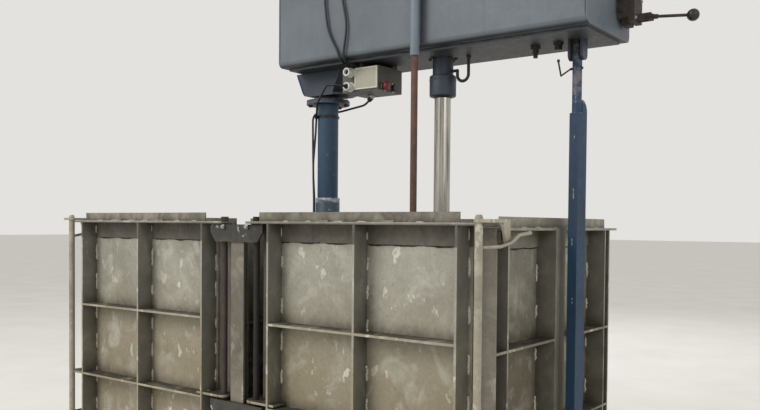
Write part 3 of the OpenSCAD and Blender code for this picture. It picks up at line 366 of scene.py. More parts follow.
def zinc_band_shadow_and_soot(s, colour, mottle, amount):
    """Painted shadow of the top flange on a door's raised band, and patchy dark soot on the lip bar above it.
    """
    in_band = s.ramp(s.place("Z"), BAND_LOW - 0.004, BAND_LOW)
    in_band = s.both(in_band, s.ramp(s.place("Z"), DOOR_TOP, DOOR_TOP - 0.01))
    in_band = s.both(in_band, s.ramp(s.facing("Y"), -0.5, -0.9))
    patchy = s.both(in_band, s.ramp(mottle, 0.3, 0.7, 1.0, 0.8))
    colour = s.mix(s.both(patchy, amount), colour, BAND_SHADOW)
    above = s.ramp(s.place("Z"), DOOR_TOP - 0.002, DOOR_TOP + 0.002)
    lip = s.both(above, s.ramp(mottle, 0.35, 0.65, 1.0, 0.35))
    return s.mix(s.both(lip, amount), colour, LIP_SOOT)


def zinc_shade_and_grime(s, colour, mottle, amount):
    """Painted shade in corners, made patchy like grime, and grime on ledges."""
    # Painted shade: ambient occlusion darkens the corners, broken up by noise like grime.
    depth = s.math("ADD", s.corners(0.06), s.ramp(mottle, 0.3, 0.7, -0.24, 0.2))
    colour = s.mix(s.ramp(depth, 0.2, 0.88, amount, 0.0), colour, CORNER_SHADE_AND_GRIME)
    ledge = s.both(s.ramp(s.facing("Z"), 0.6, 0.95), s.ramp(s.noise(9, 6, 0.7), 0.28, 0.5))
    return s.mix(s.both(ledge, 0.9), colour, LEDGE_DIRT)


def zinc(name, base, stained, pale, across="X", shade=0.0, tint=0.0, tint_tone=(140, 127, 96), corner_shade_and_grime=0.75,
         fleck=0.8, band_shadow_and_soot=0.0):
    """Old hot-dip zinc: blotches, pale flecks and grime on ledges, with painted shade in corners (made patchy
    like grime), on the sides of ribs and stiles, and under a door's top flange.
    """
    s = Shader(name)
    base, stained, pale = tone(*base), tone(*stained), tone(*pale)
    broad = s.noise(2.3, 5, 0.6, distortion=0.4)
    mottle = s.noise(13, 6, 0.62, stretch=(1, 1, 0.7), distortion=0.6)
    colour = s.mix(s.ramp(broad, 0.34, 0.66), stained, base)
    if tint:
        lower = s.both(s.ramp(s.place("Z"), TINT_TOP, TINT_FULL), tint)
        colour = s.mix(lower, colour, tone(*tint_tone))
    # Ambient occlusion keeps the pale clouds and flecks to the open, so corners stay darker: partly painted
    # shade.
    open_to_light = s.ramp(s.corners(0.14), 0.45, 0.95)
    clouds = s.ramp(s.noise(6.5, 4, 0.55, distortion=0.8), 0.50, 0.66)
    colour = s.mix(s.both(s.both(clouds, open_to_light), 0.55), colour, pale)
    colour = zinc_flecks(s, colour, broad, open_to_light, fleck)
    colour = zinc_wear(s, colour, stained)
    # Painted shade on faces turned along the given axis, such as the sides of ribs and stiles.
    if shade:
        side = s.ramp(s.math("ABSOLUTE", s.facing(across)), 0.6, 0.95)
        patchy = s.both(side, s.ramp(mottle, 0.45, 0.7, 1.0, 0.75))
        colour = s.mix(s.both(patchy, shade), colour, RIB_SIDE_SHADE)
    # Painted shadow of the top flange on a door's raised band, and soot on its lip bar.
    if band_shadow_and_soot:
        colour = zinc_band_shadow_and_soot(s, colour, mottle, band_shadow_and_soot)
    colour = zinc_shade_and_grime(s, colour, mottle, corner_shade_and_grime)
    rough = s.ramp(mottle, 0.3, 0.7, 0.5, 0.75)
    dents = s.math("ADD", s.both(s.noise(4.2, 2, 0.5), 2.5), s.both(s.noise(120, 3, 0.7), 0.22))
    return s.done(colour, rough, 0.15, s.bump(dents, 0.5, 0.003))


def paint(name, base, dark, worn, chipped_from=0.63, rough=(0.38, 0.58), rubbed=None):
    """Weathered paint on steel: faded areas, run marks, chips and a rubbed band between two heights, with
    painted shade on downward faces and in corners.
    """
    s = Shader(name)
    base, dark, worn = tone(*base), tone(*dark), tone(*worn)
    broad = s.noise(2.6, 5, 0.6)
    runs = s.noise(20, 4, 0.6, stretch=(1, 1, 0.06))
    fine = s.noise(38, 8, 0.72)
    colour = s.mix(s.ramp(broad, 0.3, 0.7), dark, base)
    colour = s.mix(s.both(s.ramp(runs, 0.5, 0.75), 0.45), colour, dark)
    chips = s.both(s.ramp(fine, chipped_from, chipped_from + 0.03), s.ramp(broad, 0.42, 0.58, 0.2, 1.0))
    colour = s.mix(chips, colour, worn)
    if rubbed:
        patchy = s.ramp(s.noise(14, 6, 0.7, stretch=(1, 1, 1.6)), 0.40, 0.56)
        colour = s.mix(s.both(s.between(*rubbed), patchy), colour, worn)
    # Painted shade on faces turned downwards, a little patchy.
    facing_down = s.ramp(s.facing("Z"), -0.5, -0.85)
    colour = s.mix(s.both(facing_down, s.ramp(broad, 0.35, 0.6, 0.92, 0.7)), colour, UNDERSIDE_SHADE)
    # Painted shade in corners, by ambient occlusion.
    colour = s.mix(s.ramp(s.corners(0.05), 0.2, 0.8, 0.6, 0.0), colour, PAINT_CORNER_SHADE)
    uneven = s.bump(s.math("SUBTRACT", fine, chips), 0.25, 0.0012)
    return s.done(colour, s.ramp(fine, 0.3, 0.7, *rough), 0.0, uneven)


def rusty(name, base, dark, bright):
    """Steel under a thin coat of rust."""
    s = Shader(name)
    base, dark, bright = tone(*base), tone(*dark), tone(*bright)
    fine = s.noise(55, 8, 0.75)
    runs = s.noise(26, 4, 0.6, stretch=(1, 1, 0.06))
    colour = s.mix(s.ramp(s.noise(7, 6, 0.65), 0.35, 0.65), dark, base)
    colour = s.mix(s.both(s.ramp(fine, 0.52, 0.66), 0.55), colour, bright)
    colour = s.mix(s.both(s.ramp(runs, 0.5, 0.75), 0.5), colour, dark)
    return s.done(colour, s.ramp(fine, 0.3, 0.7, 0.6, 0.85), 0.15, s.bump(fine, 0.5, 0.0012))


def plain(name, colour, rough, metallic=0.0, grain=0.0, dust=0.0):
    """A plain finish with a little unevenness."""
    s = Shader(name)
    fine = s.noise(60, 5, 0.6)
    shade = s.mix(1.0, tone(*colour), s.ramp(fine, 0.2, 0.8, 0.90, 1.08), "MULTIPLY")
    if dust:
        dusty = s.ramp(s.noise(12, 6, 0.7), 0.45, 0.7)
        shade = s.mix(s.both(dusty, dust), shade, DUST)
    normal = s.bump(fine, grain, 0.0008) if grain else None
    return s.done(shade, s.ramp(fine, 0.3, 0.7, rough * 0.85, min(1.0, rough * 1.15)), metallic, normal)


def chromed(name, base):
    """Hard chrome with oily vertical streaks."""
    s = Shader(name)
    runs = s.noise(90, 4, 0.6, stretch=(1, 1, 0.02))
    film = s.noise(16, 5, 0.6, stretch=(1, 1, 0.12))
    colour = s.mix(s.both(s.ramp(runs, 0.48, 0.66), 0.7), tone(*base), OILY)
    colour = s.mix(s.both(s.ramp(film, 0.52, 0.7), 0.4), colour, OIL_FILM)
    return s.done(colour, s.ramp(film, 0.3, 0.7, 0.20, 0.42), 0.9)


def floor_finish(name, base, bright):
    """A pale floor with faint clouds."""
    s = Shader(name)
    clouds = s.ramp(s.noise(1.3, 5, 0.6), 0.3, 0.7)
    return s.done(s.mix(clouds, tone(*base), tone(*bright)), 0.85)


ZINC = zinc("zinc", (172, 169, 156), (142, 140, 128), (188, 187, 174), across="X", shade=0.76, tint=0.62,
            fleck=0.95, band_shadow_and_soot=0.85)
# A darker copy of the zinc for the walls that face sideways, away from the key light: painted shade.
ZINC_SHADED_SIDE = zinc("zinc_shaded_side", (150, 146, 132), (116, 112, 100), (168, 164, 150), across="Y", shade=0.7,
                 tint=0.8, tint_tone=(98, 90, 70), fleck=0.5)
ZINC_FRAME = zinc("zinc_frame", (130, 124, 112), (98, 94, 84), (150, 146, 134), fleck=0.3)
ZINC_PALE = zinc("zinc_pale", (168, 161, 144), (136, 130, 114), (190, 186, 170), corner_shade_and_grime=0.5)
ZINC_POST = zinc("zinc_post", (132, 125, 112), (98, 92, 82), (152, 146, 132), shade=0.8, fleck=0.4)
ZINC_DARK = zinc("zinc_dark", (70, 68, 62), (44, 43, 40), (104, 102, 94))
BLUE = paint("blue_paint", (60, 88, 112), (42, 64, 86), (120, 140, 150))
BLUE_COLLAR = paint("blue_collar", (54, 74, 88), (40, 58, 72), (190, 196, 196), rubbed=(1.714, 1.746))
BLUE_POST = paint("blue_post", (22, 60, 90), (14, 40, 62), (104, 103, 106), chipped_from=0.68,
                  rough=(0.5, 0.7), rubbed=(2.17, 2.50))
BLUE_DARK = paint("blue_dark", (58, 68, 83), (42, 50, 61), (96, 108, 118))
BLUE_SLEEVE = paint("blue_sleeve", (122, 134, 143), (94, 106, 116), (140, 150, 156), chipped_from=0.66)
SLATE = paint("slate_paint", (102, 110, 118), (84, 92, 100), (122, 128, 132), chipped_from=0.70,
              rough=(0.44, 0.62))
OLIVE = paint("box_paint", (92, 90, 82), (70, 68, 62), (118, 114, 104), chipped_from=0.68)
RUST = rusty("rusty_steel", (108, 80, 70), (74, 56, 50), (136, 100, 82))
RUST_DARK = rusty("dark_rust", (70, 60, 56), (46, 42, 40), (96, 78, 68))
PIN_BLACK = rusty("blackened_pin", (40, 37, 34), (26, 24, 23), (66, 58, 50))
CHROME = chromed("chrome_rod", (186, 182, 172))
DARK = plain("dark_steel", (46, 46, 47), 0.5, 0.4, grain=0.2, dust=0.25)
BRIGHT = plain("bright_steel", (178, 176, 170), 0.35, 0.8, grain=0.1, dust=0.2)
RUBBER = plain("cable_rubber", (26, 26, 28), 0.42)
CREAM = plain("cream_cover", (166, 163, 146), 0.5, dust=0.25)
CREAM_EDGE = plain("cream_edge", (206, 204, 186), 0.45, dust=0.1)
WHITE = plain("white_plastic", (216, 216, 212), 0.45, dust=0.2)
RED = plain("red_plastic", (128, 34, 38), 0.42, dust=0.15)
BLACK = plain("black_plastic", (30, 30, 32), 0.35)
WELD = plain("weld_metal", (184, 181, 168), 0.55, 0.25, grain=0.5, dust=0.35)
WELD_DARK = plain("weld_dark", (58, 66, 74), 0.5, 0.1, grain=0.4)
WELD_BLUE = plain("weld_blue", (52, 86, 118), 0.5, 0.1, grain=0.4)
WELD_DULL = plain("weld_dull", (112, 107, 95), 0.6, 0.1, grain=0.5, dust=0.3)
# Dark tubes painting shadow lines under the raised bands, and the dark butt joints in them
SEAM_SHADOW_AND_JOINT = plain("seam_shadow_and_joint", (30, 27, 25), 0.85)


# Shapes for the small pieces
def circle(r, count, first=0.0):
    """Points of a flat circle, the first one at an angle in degrees."""
    angles = [math.radians(first) + 2 * math.pi * k / count for k in range(count)]
    return [Vector((r * math.cos(a), r * math.sin(a), 0)) for a in angles]


def turned(axis):
    """The turn that brings Z along an axis."""
    return Vector(axis).to_track_quat("Z", "Y").to_matrix()


class Piece:
    """Collects simple shapes in one mesh, which rides on one body."""

    def __init__(self, name, body, material, slot):
        self.name, self.body, self.material, self.slot = name, body, material, slot
        self.bm = bmesh.new()

    def box(self, low, high, bevel):
        """A box between two corners, its edges rounded by bevel."""
        low, high = Vector(low), Vector(high)
        size = Matrix.Diagonal((*[abs(c) for c in (high - low)], 1))
        made = bmesh.ops.create_cube(self.bm, size=1.0, matrix=Matrix.Translation((low + high) / 2) @ size)
        if bevel:
            edges = {e for v in made["verts"] for e in v.link_edges}
            bmesh.ops.bevel(self.bm, geom=list(edges), offset=bevel, segments=2, affect="EDGES")

    def bar(self, a, b, r, sides=24, r_end=None):
        """A round or many-sided bar from a to b, tapered where r_end is given."""
        a, b = Vector(a), Vector(b)
        place = Matrix.Translation((a + b) / 2) @ turned(b - a).to_4x4()
        bmesh.ops.create_cone(self.bm, cap_ends=True, segments=sides, radius1=r,
                              radius2=r if r_end is None else r_end, depth=(b - a).length, matrix=place)

    def lathe(self, at, axis, profile, sides=40):
        """A closed ring of (radius, distance along axis) pairs turned round the axis."""
        place = Matrix.Translation(at) @ turned(axis).to_4x4()
        rings = []
        for way in circle(1, sides):
            rings.append([self.bm.verts.new(place @ (way * r + UP * z)) for r, z in profile])
        n = len(profile)
        for k in range(sides):
            here, there = rings[k], rings[(k + 1) % sides]
            for i in range(n):
                j = (i + 1) % n
                self.bm.faces.new((here[i], there[i], there[j], here[j]))

    def tube(self, points, r, sides=10, closed=False):
        """A round tube along points, its ends capped. r is one radius or a list of them."""
        pts = [Vector(p) for p in points]
        n = len(pts)
        side, rings = None, []
        for i, p in enumerate(pts):
            ahead = pts[(i + 1) % n] if closed else pts[min(i + 1, n - 1)]
            behind = pts[i - 1] if closed else pts[max(i - 1, 0)]
            t = (ahead - behind).normalized()
            if side is None:
                side = t.orthogonal().normalized()
            side = (side - t * side.dot(t)).normalized()
            other = t.cross(side)
            here = r[i] if isinstance(r, list) else r
            rings.append([self.bm.verts.new(p + (side * way.x + other * way.y) * here)
                          for way in circle(1, sides)])
        pairs = list(zip(range(n), range(1, n)))
        if closed:
            pairs.append((n - 1, 0))
        for i, j in pairs:
            for k in range(sides):
                m = (k + 1) % sides
                self.bm.faces.new((rings[i][k], rings[i][m], rings[j][m], rings[j][k]))
        if not closed:
            self.bm.faces.new(list(reversed(rings[0])))
            self.bm.faces.new(rings[-1])

    def nut(self, at, axis, r, h, washer=0.0):
        """A hexagon nut or bolt head with a chamfered top, on a washer where its radius is given."""
        at, axis = Vector(at), Vector(axis).normalized()
        base = at
        if washer:
            base = at + axis * 0.002
            self.bar(at, base, washer, 24)
        shoulder = base + axis * h * 0.86
        self.bar(base, shoulder, r, 6)
        self.bar(shoulder, base + axis * h, r * 0.97, 6, r_end=r * 0.86)

    def screw(self, at, axis, r):
        """A pan-head screw."""
        self.lathe(at, axis, [(0.0002, 0), (r, 0), (r, r * 0.3), (r * 0.7, r * 0.6), (0.0002, r * 0.68)], 20)

    def ring(self, at, axis, r, thick, sides=48):
        """A round ring about an axis. Its own thickness is twice thick."""
        turn = turned(axis)
        self.tube([Vector(at) + turn @ p for p in circle(r, sides)], thick, 8, closed=True)

    def bead(self, a, b, r=0.0045, step=0.006, uneven=0.12):
        """A weld bead with its ripples, from a to b."""
        a, b = Vector(a), Vector(b)
        n = max(3, int((b - a).length / step))
        pts, radii = [], []
        for i in range(n + 1):
            t = i / n
            wander = Vector((rng.uniform(-1, 1), rng.uniform(-1, 1), rng.uniform(-1, 1))) * r * uneven
            pts.append(a.lerp(b, t) + wander)
            from_end = min(1.0, min(t, 1 - t) * n / 2)
            ripple = 1.0 if i % 2 else 0.84
            radii.append(r * (0.55 + 0.45 * from_end) * ripple * rng.uniform(0.9, 1.1))
        self.tube(pts, radii, 7)

    def stitches(self, a, b, length=0.045, pitch=0.13, r=0.0045, uneven=0.12):
        """Short weld beads along a line, with uneven gaps."""
        a, b = Vector(a), Vector(b)
        total = (b - a).length
        along = (b - a) / total
        at = rng.uniform(0.01, pitch * 0.4)
        while at + length * 0.6 < total:
            size = min(length * rng.uniform(0.7, 1.35), total - at)
            self.bead(a + along * at, a + along * (at + size), r * rng.uniform(0.85, 1.1), uneven=uneven)
            at += pitch * rng.uniform(0.75, 1.25)

    def done(self):
        bmesh.ops.recalc_face_normals(self.bm, faces=self.bm.faces)
        mesh = bpy.data.meshes.new(self.name)
        self.bm.to_mesh(mesh)
        self.bm.free()
        mesh.polygons.foreach_set("use_smooth", [True] * len(mesh.polygons))
        mesh.set_sharp_from_angle(angle=math.radians(35))
        o = bpy.data.objects.new(self.name, mesh)
        scene.collection.objects.link(o)
        o.data.materials.append(self.material)
        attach(o, self.body)


# Cable routes, with the source's own points in millimetres
def bent_route(corners, bends, step=6.0):
    """Points along straight legs between the corners, with a round bend at each inner corner."""
    pts = [Vector(c) * MM for c in corners]
    out = [pts[0]]
    for before, at, after, r_mm in zip(pts, pts[1:], pts[2:], bends):
        r = r_mm * MM
        u, v = (before - at).normalized(), (after - at).normalized()
        half = u.angle(v) / 2
        turn = math.pi - 2 * half
        centre = at + (u + v).normalized() * r / math.sin(half)
        first = at + u * r / math.tan(half) - centre
        last = at + v * r / math.tan(half) - centre
        n = max(3, round(math.degrees(turn) / step))
        for k in range(n + 1):
            t = k / n
            arm = first * math.sin(turn * (1 - t)) + last * math.sin(turn * t)
            out.append(centre + arm / math.sin(turn))
    out.append(pts[-1])
    return out


def smooth_route(points, step=0.008, passes=6):
    """Points on a smooth line through the given ones, which may lie unevenly, then evened out a little."""
    pts = [Vector(p) * MM for p in points]
    gaps = [(b - a).length for a, b in zip(pts, pts[1:])]
    slopes = [(b - a) / g for a, b, g in zip(pts, pts[1:], gaps)]
    leans = [slopes[0]]
    for s0, s1, g0, g1 in zip(slopes, slopes[1:], gaps, gaps[1:]):
        leans.append((s0 * g1 + s1 * g0) / (g0 + g1))
    leans.append(slopes[-1])
    out = []
    for a, b, lean_a, lean_b, g in zip(pts, pts[1:], leans, leans[1:], gaps):
        n = max(2, math.ceil(g / step))
        for k in range(n):
            t = k / n
            from_a = a * (2 * t ** 3 - 3 * t ** 2 + 1) + lean_a * g * (t ** 3 - 2 * t ** 2 + t)
            from_b = b * (3 * t ** 2 - 2 * t ** 3) + lean_b * g * (t ** 3 - t ** 2)
            out.append(from_a + from_b)
    out.append(pts[-1])
    for _ in range(passes):
        inner = [(a + b * 2 + c) / 4 for a, b, c in zip(out, out[1:], out[2:])]
        out = [out[0], *inner, out[-1]]
    return out


ROUTES = {
    "supply_cable": bent_route(
        [(300, -187, 2337), (300, -262, 2337), (212, -262, 2345), (44, -147, 2276),
         (-40, -58, 2210), (-47, -56, 2120), (-68, -52, 1945), (-66, -52, 1840),
         (-57, -57, 1740), (-57, -57, 620), (10, -134, 530), (10, -134, 430)],
        [56, 70, 70, 52, 200, 300, 300, 300, 100, 60]),
    "interlock_cable": bent_route(
        [(314.7, 0.5, 2298.1), (270, 4, 2263.2), (40, 72, 2252), (-78, 78, 2246),
         (-78, -47, 2238), (-84, -36, 1990), (-80, -36, 1860), (-70, -38, 1750),
         (-70, -38, 600), (-38, -134, 500), (-38, -134, 430)],
        [80, 200, 72, 50, 300, 300, 300, 150, 60]),
    "motor_cable_a": smooth_route([
        (230, -78, 3038), (230, -110, 3038), (228, -160, 3038), (222, -226, 3038), (219, -244, 3034),
        (216, -260, 3024), (212, -270, 3008), (208, -274, 2990), (204, -274, 2930), (203, -274, 2870),
        (205, -274, 2800), (214, -274, 2720), (228, -274, 2645), (256, -274, 2580), (288, -274, 2528),
        (302, -274, 2500), (306, -270, 2482), (309, -260, 2466), (311, -244, 2456), (312, -226, 2452),
        (312, -180, 2451), (312, -150, 2451)]),
    "motor_cable_b": smooth_route([
        (300, -78, 3038), (300, -110, 3038), (303, -160, 3038), (310, -226, 3038), (312, -244, 3034),
        (314, -260, 3024), (316, -270, 3008), (318, -274, 2990), (321, -274, 2930), (323, -274, 2870),
        (329, -274, 2780), (345, -274, 2710), (355, -274, 2650), (352, -274, 2590), (343, -274, 2540),
        (337, -274, 2500), (336, -270, 2482), (336, -260, 2466), (336, -244, 2456), (337, -226, 2452),
        (338, -180, 2451), (338, -150, 2451)]),
}


# Cables and their strain reliefs
def add_cable(name, pts):
    """A black cable along points, which stands for the CAD node of its name."""
    curve = bpy.data.curves.new(name + "_line", "CURVE")
    curve.dimensions = "3D"
    spline = curve.splines.new("POLY")
    spline.points.add(len(pts) - 1)
    for p, v in zip(spline.points, pts):
        p.co = (*v, 1)
    curve.bevel_depth = CABLE_R
    curve.bevel_resolution = 4
    curve.use_fill_caps = True
    curve.materials.append(RUBBER)
    o = bpy.data.objects.new(name + "_line", curve)
    scene.collection.objects.link(o)
    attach(o, "frame")
    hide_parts(name)


def add_relief(name, at, along, length=0.034, nut_r=0.013, nut_h=0.011, ribs=6):
    """A black gland nut with a tapered, ribbed sleeve round a cable."""
    piece = Piece(name, "frame", BLACK, "black_plastic")
    shoulder = nut_h - 0.002
    nut = [(CABLE_R, 0), (nut_r, 0), (nut_r, shoulder), (nut_r * 0.86, nut_h), (CABLE_R, nut_h)]
    piece.lathe(at, along, nut, 6)
    start = nut_h - HAIR
    sleeve = [(CABLE_R + 0.0003, start)]
    for k in range(ribs):
        z = start + (length - start) * k / ribs
        r = CABLE_R + 0.0055 - 0.0040 * k / ribs
        sleeve += [(r, z), (r, z + 0.0024), (r - 0.0012, z + 0.0026), (r - 0.0012, z + 0.0038)]
    sleeve += [(CABLE_R + 0.0008, length), (CABLE_R + 0.0003, length)]
    piece.lathe(at, along, sleeve, 28)
    piece.done()


for name, pts in ROUTES.items():
    add_cable(name, pts)
for name, pts in ROUTES.items():
    if name.startswith("motor"):
        add_relief(name + "_motor_relief", pts[0], FRONT_WAY)
        add_relief(name + "_duct_relief", pts[-1], FRONT_WAY)
    else:
        add_relief(name + "_inlet_relief", pts[-1], UP)


# Looks of the CAD nodes, and how far their edges are rounded in millimetres
LOOKS = (
    (ZINC, "right_door left_door right_rear_wall left_rear_wall"),
    (ZINC_SHADED_SIDE, "right_outer_wall left_outer_wall right_inner_wall left_inner_wall"),
    (ZINC_FRAME, "right_front_frame left_front_frame"),
    (ZINC_PALE, "right_lock_rod left_lock_rod right_lock_handle left_lock_handle"),
    (ZINC_POST, "hinge_post"),
    (ZINC_DARK, "base_frame right_floor left_floor hinge_brackets"),
    (PIN_BLACK, "right_hinge_pin"),
    (BLUE_COLLAR, "column_post"),
    (BLUE, "column_tube cylinder_cap"),
    (BLUE_DARK, "head_bracket cylinder_barrel gland_collar tie_socket"),
    (BLUE_SLEEVE, "guide_sleeve"),
    (BLUE_POST, "tie_post"),
    (SLATE, "head_beam beam_end_plates motor"),
    (OLIVE, "control_box inlet_box"),
    (CREAM, "control_cover"),
    (CHROME, "ram_rod"),
    (RUST, "guide_rod"),
    (RUST_DARK, "left_hinge_pin platen valve_body valve_lever pressure_pipes"),
    (BRIGHT, "column_bolts piston rod_cross_pin"),
    (DARK, "flange_bolts tie_pin drain_plug return_pipe pump filler_cap"),
    (BLACK, "lever_knob start_button"),
    (RED, "stop_button"),
    (WHITE, "cable_glands"),
    (RUBBER, "cable_clips"),
)
ROUNDED = (
    (1.0, "head_beam"),
    (1.2, "right_inner_wall left_inner_wall right_rear_wall left_rear_wall"),
    (1.2, "right_front_frame left_front_frame right_lock_rod left_lock_rod"),
    (1.2, "hinge_post beam_end_plates tie_socket"),
    (1.4, "right_outer_wall left_outer_wall"),
    (1.5, "hinge_brackets head_bracket base_frame platen valve_body gland_collar column_tube column_post"),
    (1.6, "right_door left_door"),
    (2.0, "inlet_box stop_button start_button"),
    (3.0, "control_box control_cover"),
    (4.0, "tie_post"),
)


def round_edges(node, width):
    """Joins flat faces and rounds the edges between the rest."""
    weld = node.modifiers.new("weld", "WELD")
    weld.merge_threshold = 1e-5
    flat = node.modifiers.new("flat", "DECIMATE")
    flat.decimate_type = "DISSOLVE"
    flat.angle_limit = math.radians(0.5)
    edge = node.modifiers.new("edge", "BEVEL")
    edge.width = width
    edge.segments = 2
    edge.limit_method = "ANGLE"
    edge.angle_limit = math.radians(40)
    edge.harden_normals = False


for look, names in LOOKS:
    for name in names.split():
        NODES[name].data.materials.clear()
        NODES[name].data.materials.append(look)
for width_mm, names in ROUNDED:
    for name in names.split():
        round_edges(NODES[name], width_mm * MM)


# Doors
def stile_welds(piece, x, y):
    """Coarse beads at the root of a door's stile, and finer ones where it crosses the raised band."""
    band_y = y - BAND_T
    for s in (-1, 1):
        root = x + s * (ROOT + HAIR)
        piece.stitches((root, y, BAND_LOW - RUN_END / 2), (root, y, DOOR_BOTTOM + RUN_END),
                       length=0.075, pitch=0.17, r=0.0075, uneven=0.35)
        root = x + s * ROOT
        piece.stitches((root, band_y, BRACKET_TOP), (root, band_y, BAND_LOW),
                       length=0.04, pitch=0.09, r=0.005)


def door_welds(name, body, side):
    """Weld beads at the roots of a door's stiles, ribs, lip bar and lugs."""
    pale = Piece(name, body, WELD, "light_zinc")
    y = DOOR_SKIN - HAIR
    end = side * RUN_END
    stiles = [side * (MIDDLE + k * STILE) for k in (-1, 0, 1)]
    for x in stiles:
        stile_welds(pale, x, y)
    dull = Piece(name + "_ribs", body, WELD_DULL, "galvanised")
    for top in (*DOOR_RIBS, DOOR_BOTTOM + RIB_T):
        for x0, x1 in zip(stiles, stiles[1:]):
            for z in (top + HAIR, top - RIB_T - HAIR):
                dull.stitches((x0 + end, y, z), (x1 - end, y, z), length=0.05, pitch=0.15, r=0.004)
    dull.done()
    lip_z = DOOR_TOP + HAIR
    for beside in (-BEAD_OFF, LIP_T + BEAD_OFF):
        lip_y = DOOR_FRONT + LIP_IN + beside
        pale.stitches((stiles[0] + end, lip_y, lip_z), (stiles[2] - end, lip_y, lip_z),
                      length=0.04, pitch=0.16)
    for top in LUG_TOPS:
        for z in (top + BEAD_OFF, top - RIB_T - BEAD_OFF):
            pale.stitches((side * LUG_END, y - 0.03, z), (side * LUG_END, DOOR_FRONT + 0.01, z),
                          length=0.025, pitch=0.04, r=0.004)
    pale.done()


def uneven_shadow_line(piece, a, b, steps=26):
    """A dark, slightly wavy tube from a to b: a painted shadow line."""
    a, b = Vector(a), Vector(b)
    pts, radii = [], []
    for k in range(steps + 1):
        sag = 0.0026 * math.sin(k * 0.7 + a.x * 20) + rng.uniform(-0.0014, 0.0014)
        pts.append(a.lerp(b, k / steps) + UP * sag)
        radii.append(0.0030 * rng.uniform(0.45, 1.4))
    piece.tube(pts, radii, 8)


def door_seam(name, body, side):
    """A dark, uneven tube under a door's raised band, which is a painted shadow line, and the dark butt joint
    in the band.
    """
    piece = Piece(name, body, SEAM_SHADOW_AND_JOINT, "dark_steel")
    y, z = DOOR_SKIN - SEAM_PROUD, BAND_LOW - SEAM_DROP
    for x0, x1 in ((MIDDLE - STILE, MIDDLE), (MIDDLE, MIDDLE + STILE)):
        uneven_shadow_line(piece, (side * (x0 + SEAM_END), y, z), (side * (x1 - SEAM_END), y, z))
    joint_x = side * (MIDDLE - STILE * 0.6)
    band_front = DOOR_SKIN - BAND_T
    piece.box((joint_x - 0.0008, band_front - 0.0004, BAND_LOW),
              (joint_x + 0.0008, band_front + HAIR, DOOR_TOP - RIB_T), 0)
    piece.done()


def door_nipples(name, body, side):
    """Grease nipples in the front of a door's hinge lugs."""
    piece = Piece(name, body, BRIGHT, "bright_steel")
    for top in LUG_TOPS:
        at = Vector((side * PIN_AT.x, PIN_AT.y - LUG_FRONT, top - RIB_T / 2))
        piece.bar(at - FRONT_WAY * 0.004, at + FRONT_WAY * 0.004, 0.0045, 6)
        piece.bar(at, at + FRONT_WAY * 0.009, 0.0026, 12)
    piece.done()


for word, side in (("right", 1), ("left", -1)):
    door_welds(word + "_door_welds", word + "_door_leaf", side)
    door_seam(word + "_door_seam", word + "_door_leaf", side)
    door_nipples(word + "_door_nipples", word + "_door_leaf", side)


# Chambers
def wall_seam(name, side):
    """A dark, uneven tube under an outer wall's raised band: a painted shadow line."""
    piece = Piece(name, "frame", SEAM_SHADOW_AND_JOINT, "dark_steel")
    x, z = side * (WALL_SKIN + SEAM_PROUD), WALL_BAND_LOW - SEAM_DROP
    for y0, y1 in zip(WALL_STILES, WALL_STILES[1:]):
        uneven_shadow_line(piece, (x, y0 + SEAM_END, z), (x, y1 - SEAM_END, z))
    piece.done()


def back_wall_welds(piece, side):
    """Weld beads at the roots of a back wall's stiles and ribs."""
    y = HALF_L + WALL_T + HAIR
    for k in (-1, 0, 1):
        for s in (-1, 1):
            x = side * (MIDDLE + k * STILE + s * ROOT)
            piece.stitches((x, y, WALL_TOP - RUN_END), (x, y, BASE_TOP + RUN_END),
                           length=0.07, pitch=0.19, r=0.006)
    for top in WALL_RIBS:
        z = top + BEAD_OFF
        for k in (-1, 0):
            x = MIDDLE + k * STILE + RUN_END
            piece.stitches((side * x, y, z), (side * (x + STILE - 2 * RUN_END), y, z),
                           length=0.05, pitch=0.16)


def wall_welds(name, side):
    """Weld beads on a chamber's outer wall and back wall."""
    pale = Piece(name, "frame", WELD, "light_zinc")
    x = side * (WALL_SKIN + HAIR)
    for stile in WALL_STILES:
        for s in (-1, 1):
            root = stile + s * (ROOT + HAIR)
            pale.stitches((x, root, WALL_TOP - 0.11), (x, root, BASE_TOP + RUN_END),
                          length=0.07, pitch=0.19, r=0.007, uneven=0.35)
    dull = Piece(name + "_ribs", "frame", WELD_DULL, "galvanised")
    for top in WALL_RIBS:
        for y0, y1 in zip(WALL_STILES, WALL_STILES[1:]):
            for z in (top + HAIR, top - RIB_T - HAIR):
                dull.stitches((x, y0 + RUN_END, z), (x, y1 - RUN_END, z), length=0.05, pitch=0.16, r=0.004)
    dull.done()
    lip_z = WALL_TOP + HAIR
    for beside in (BEAD_OFF, -LIP_T - BEAD_OFF):
        lip_x = side * (WALL_SKIN + RIB_D - LIP_IN + beside)
        pale.stitches((lip_x, -HALF_L + 0.08, lip_z), (lip_x, HALF_L - RUN_END, lip_z),
                      length=0.04, pitch=0.17)
    back_wall_welds(pale, side)
    pale.done()


def bracket_details():
    """Bright bolt heads on the upper hinge bracket, and beads where the brackets meet the frames."""
    bolts = Piece("hinge_bracket_bolts", "frame", BRIGHT, "bright_steel")
    for s in (-1, 1):
        at = (s * BRACKET_BOLT_X, BRACKET_FRONT, BRACKET_TOP - RIB_T)
        bolts.nut(at, FRONT_WAY, 0.0095, 0.008, washer=0.012)
    bolts.done()
    beads = Piece("hinge_bracket_welds", "frame", WELD_DARK, "galvanised")
    y = FRAME_FRONT - 0.002
    for top in BRACKET_TOPS:
        for s in (-1, 1):
            beads.stitches((s * 0.153, y, top + HAIR), (s * 0.085, y, top + HAIR),
                           length=0.03, pitch=0.045, r=0.004)
    beads.done()


wall_seam("right_wall_seam", 1)
wall_seam("left_wall_seam", -1)
wall_welds("right_wall_welds", 1)
wall_welds("left_wall_welds", -1)
bracket_details()


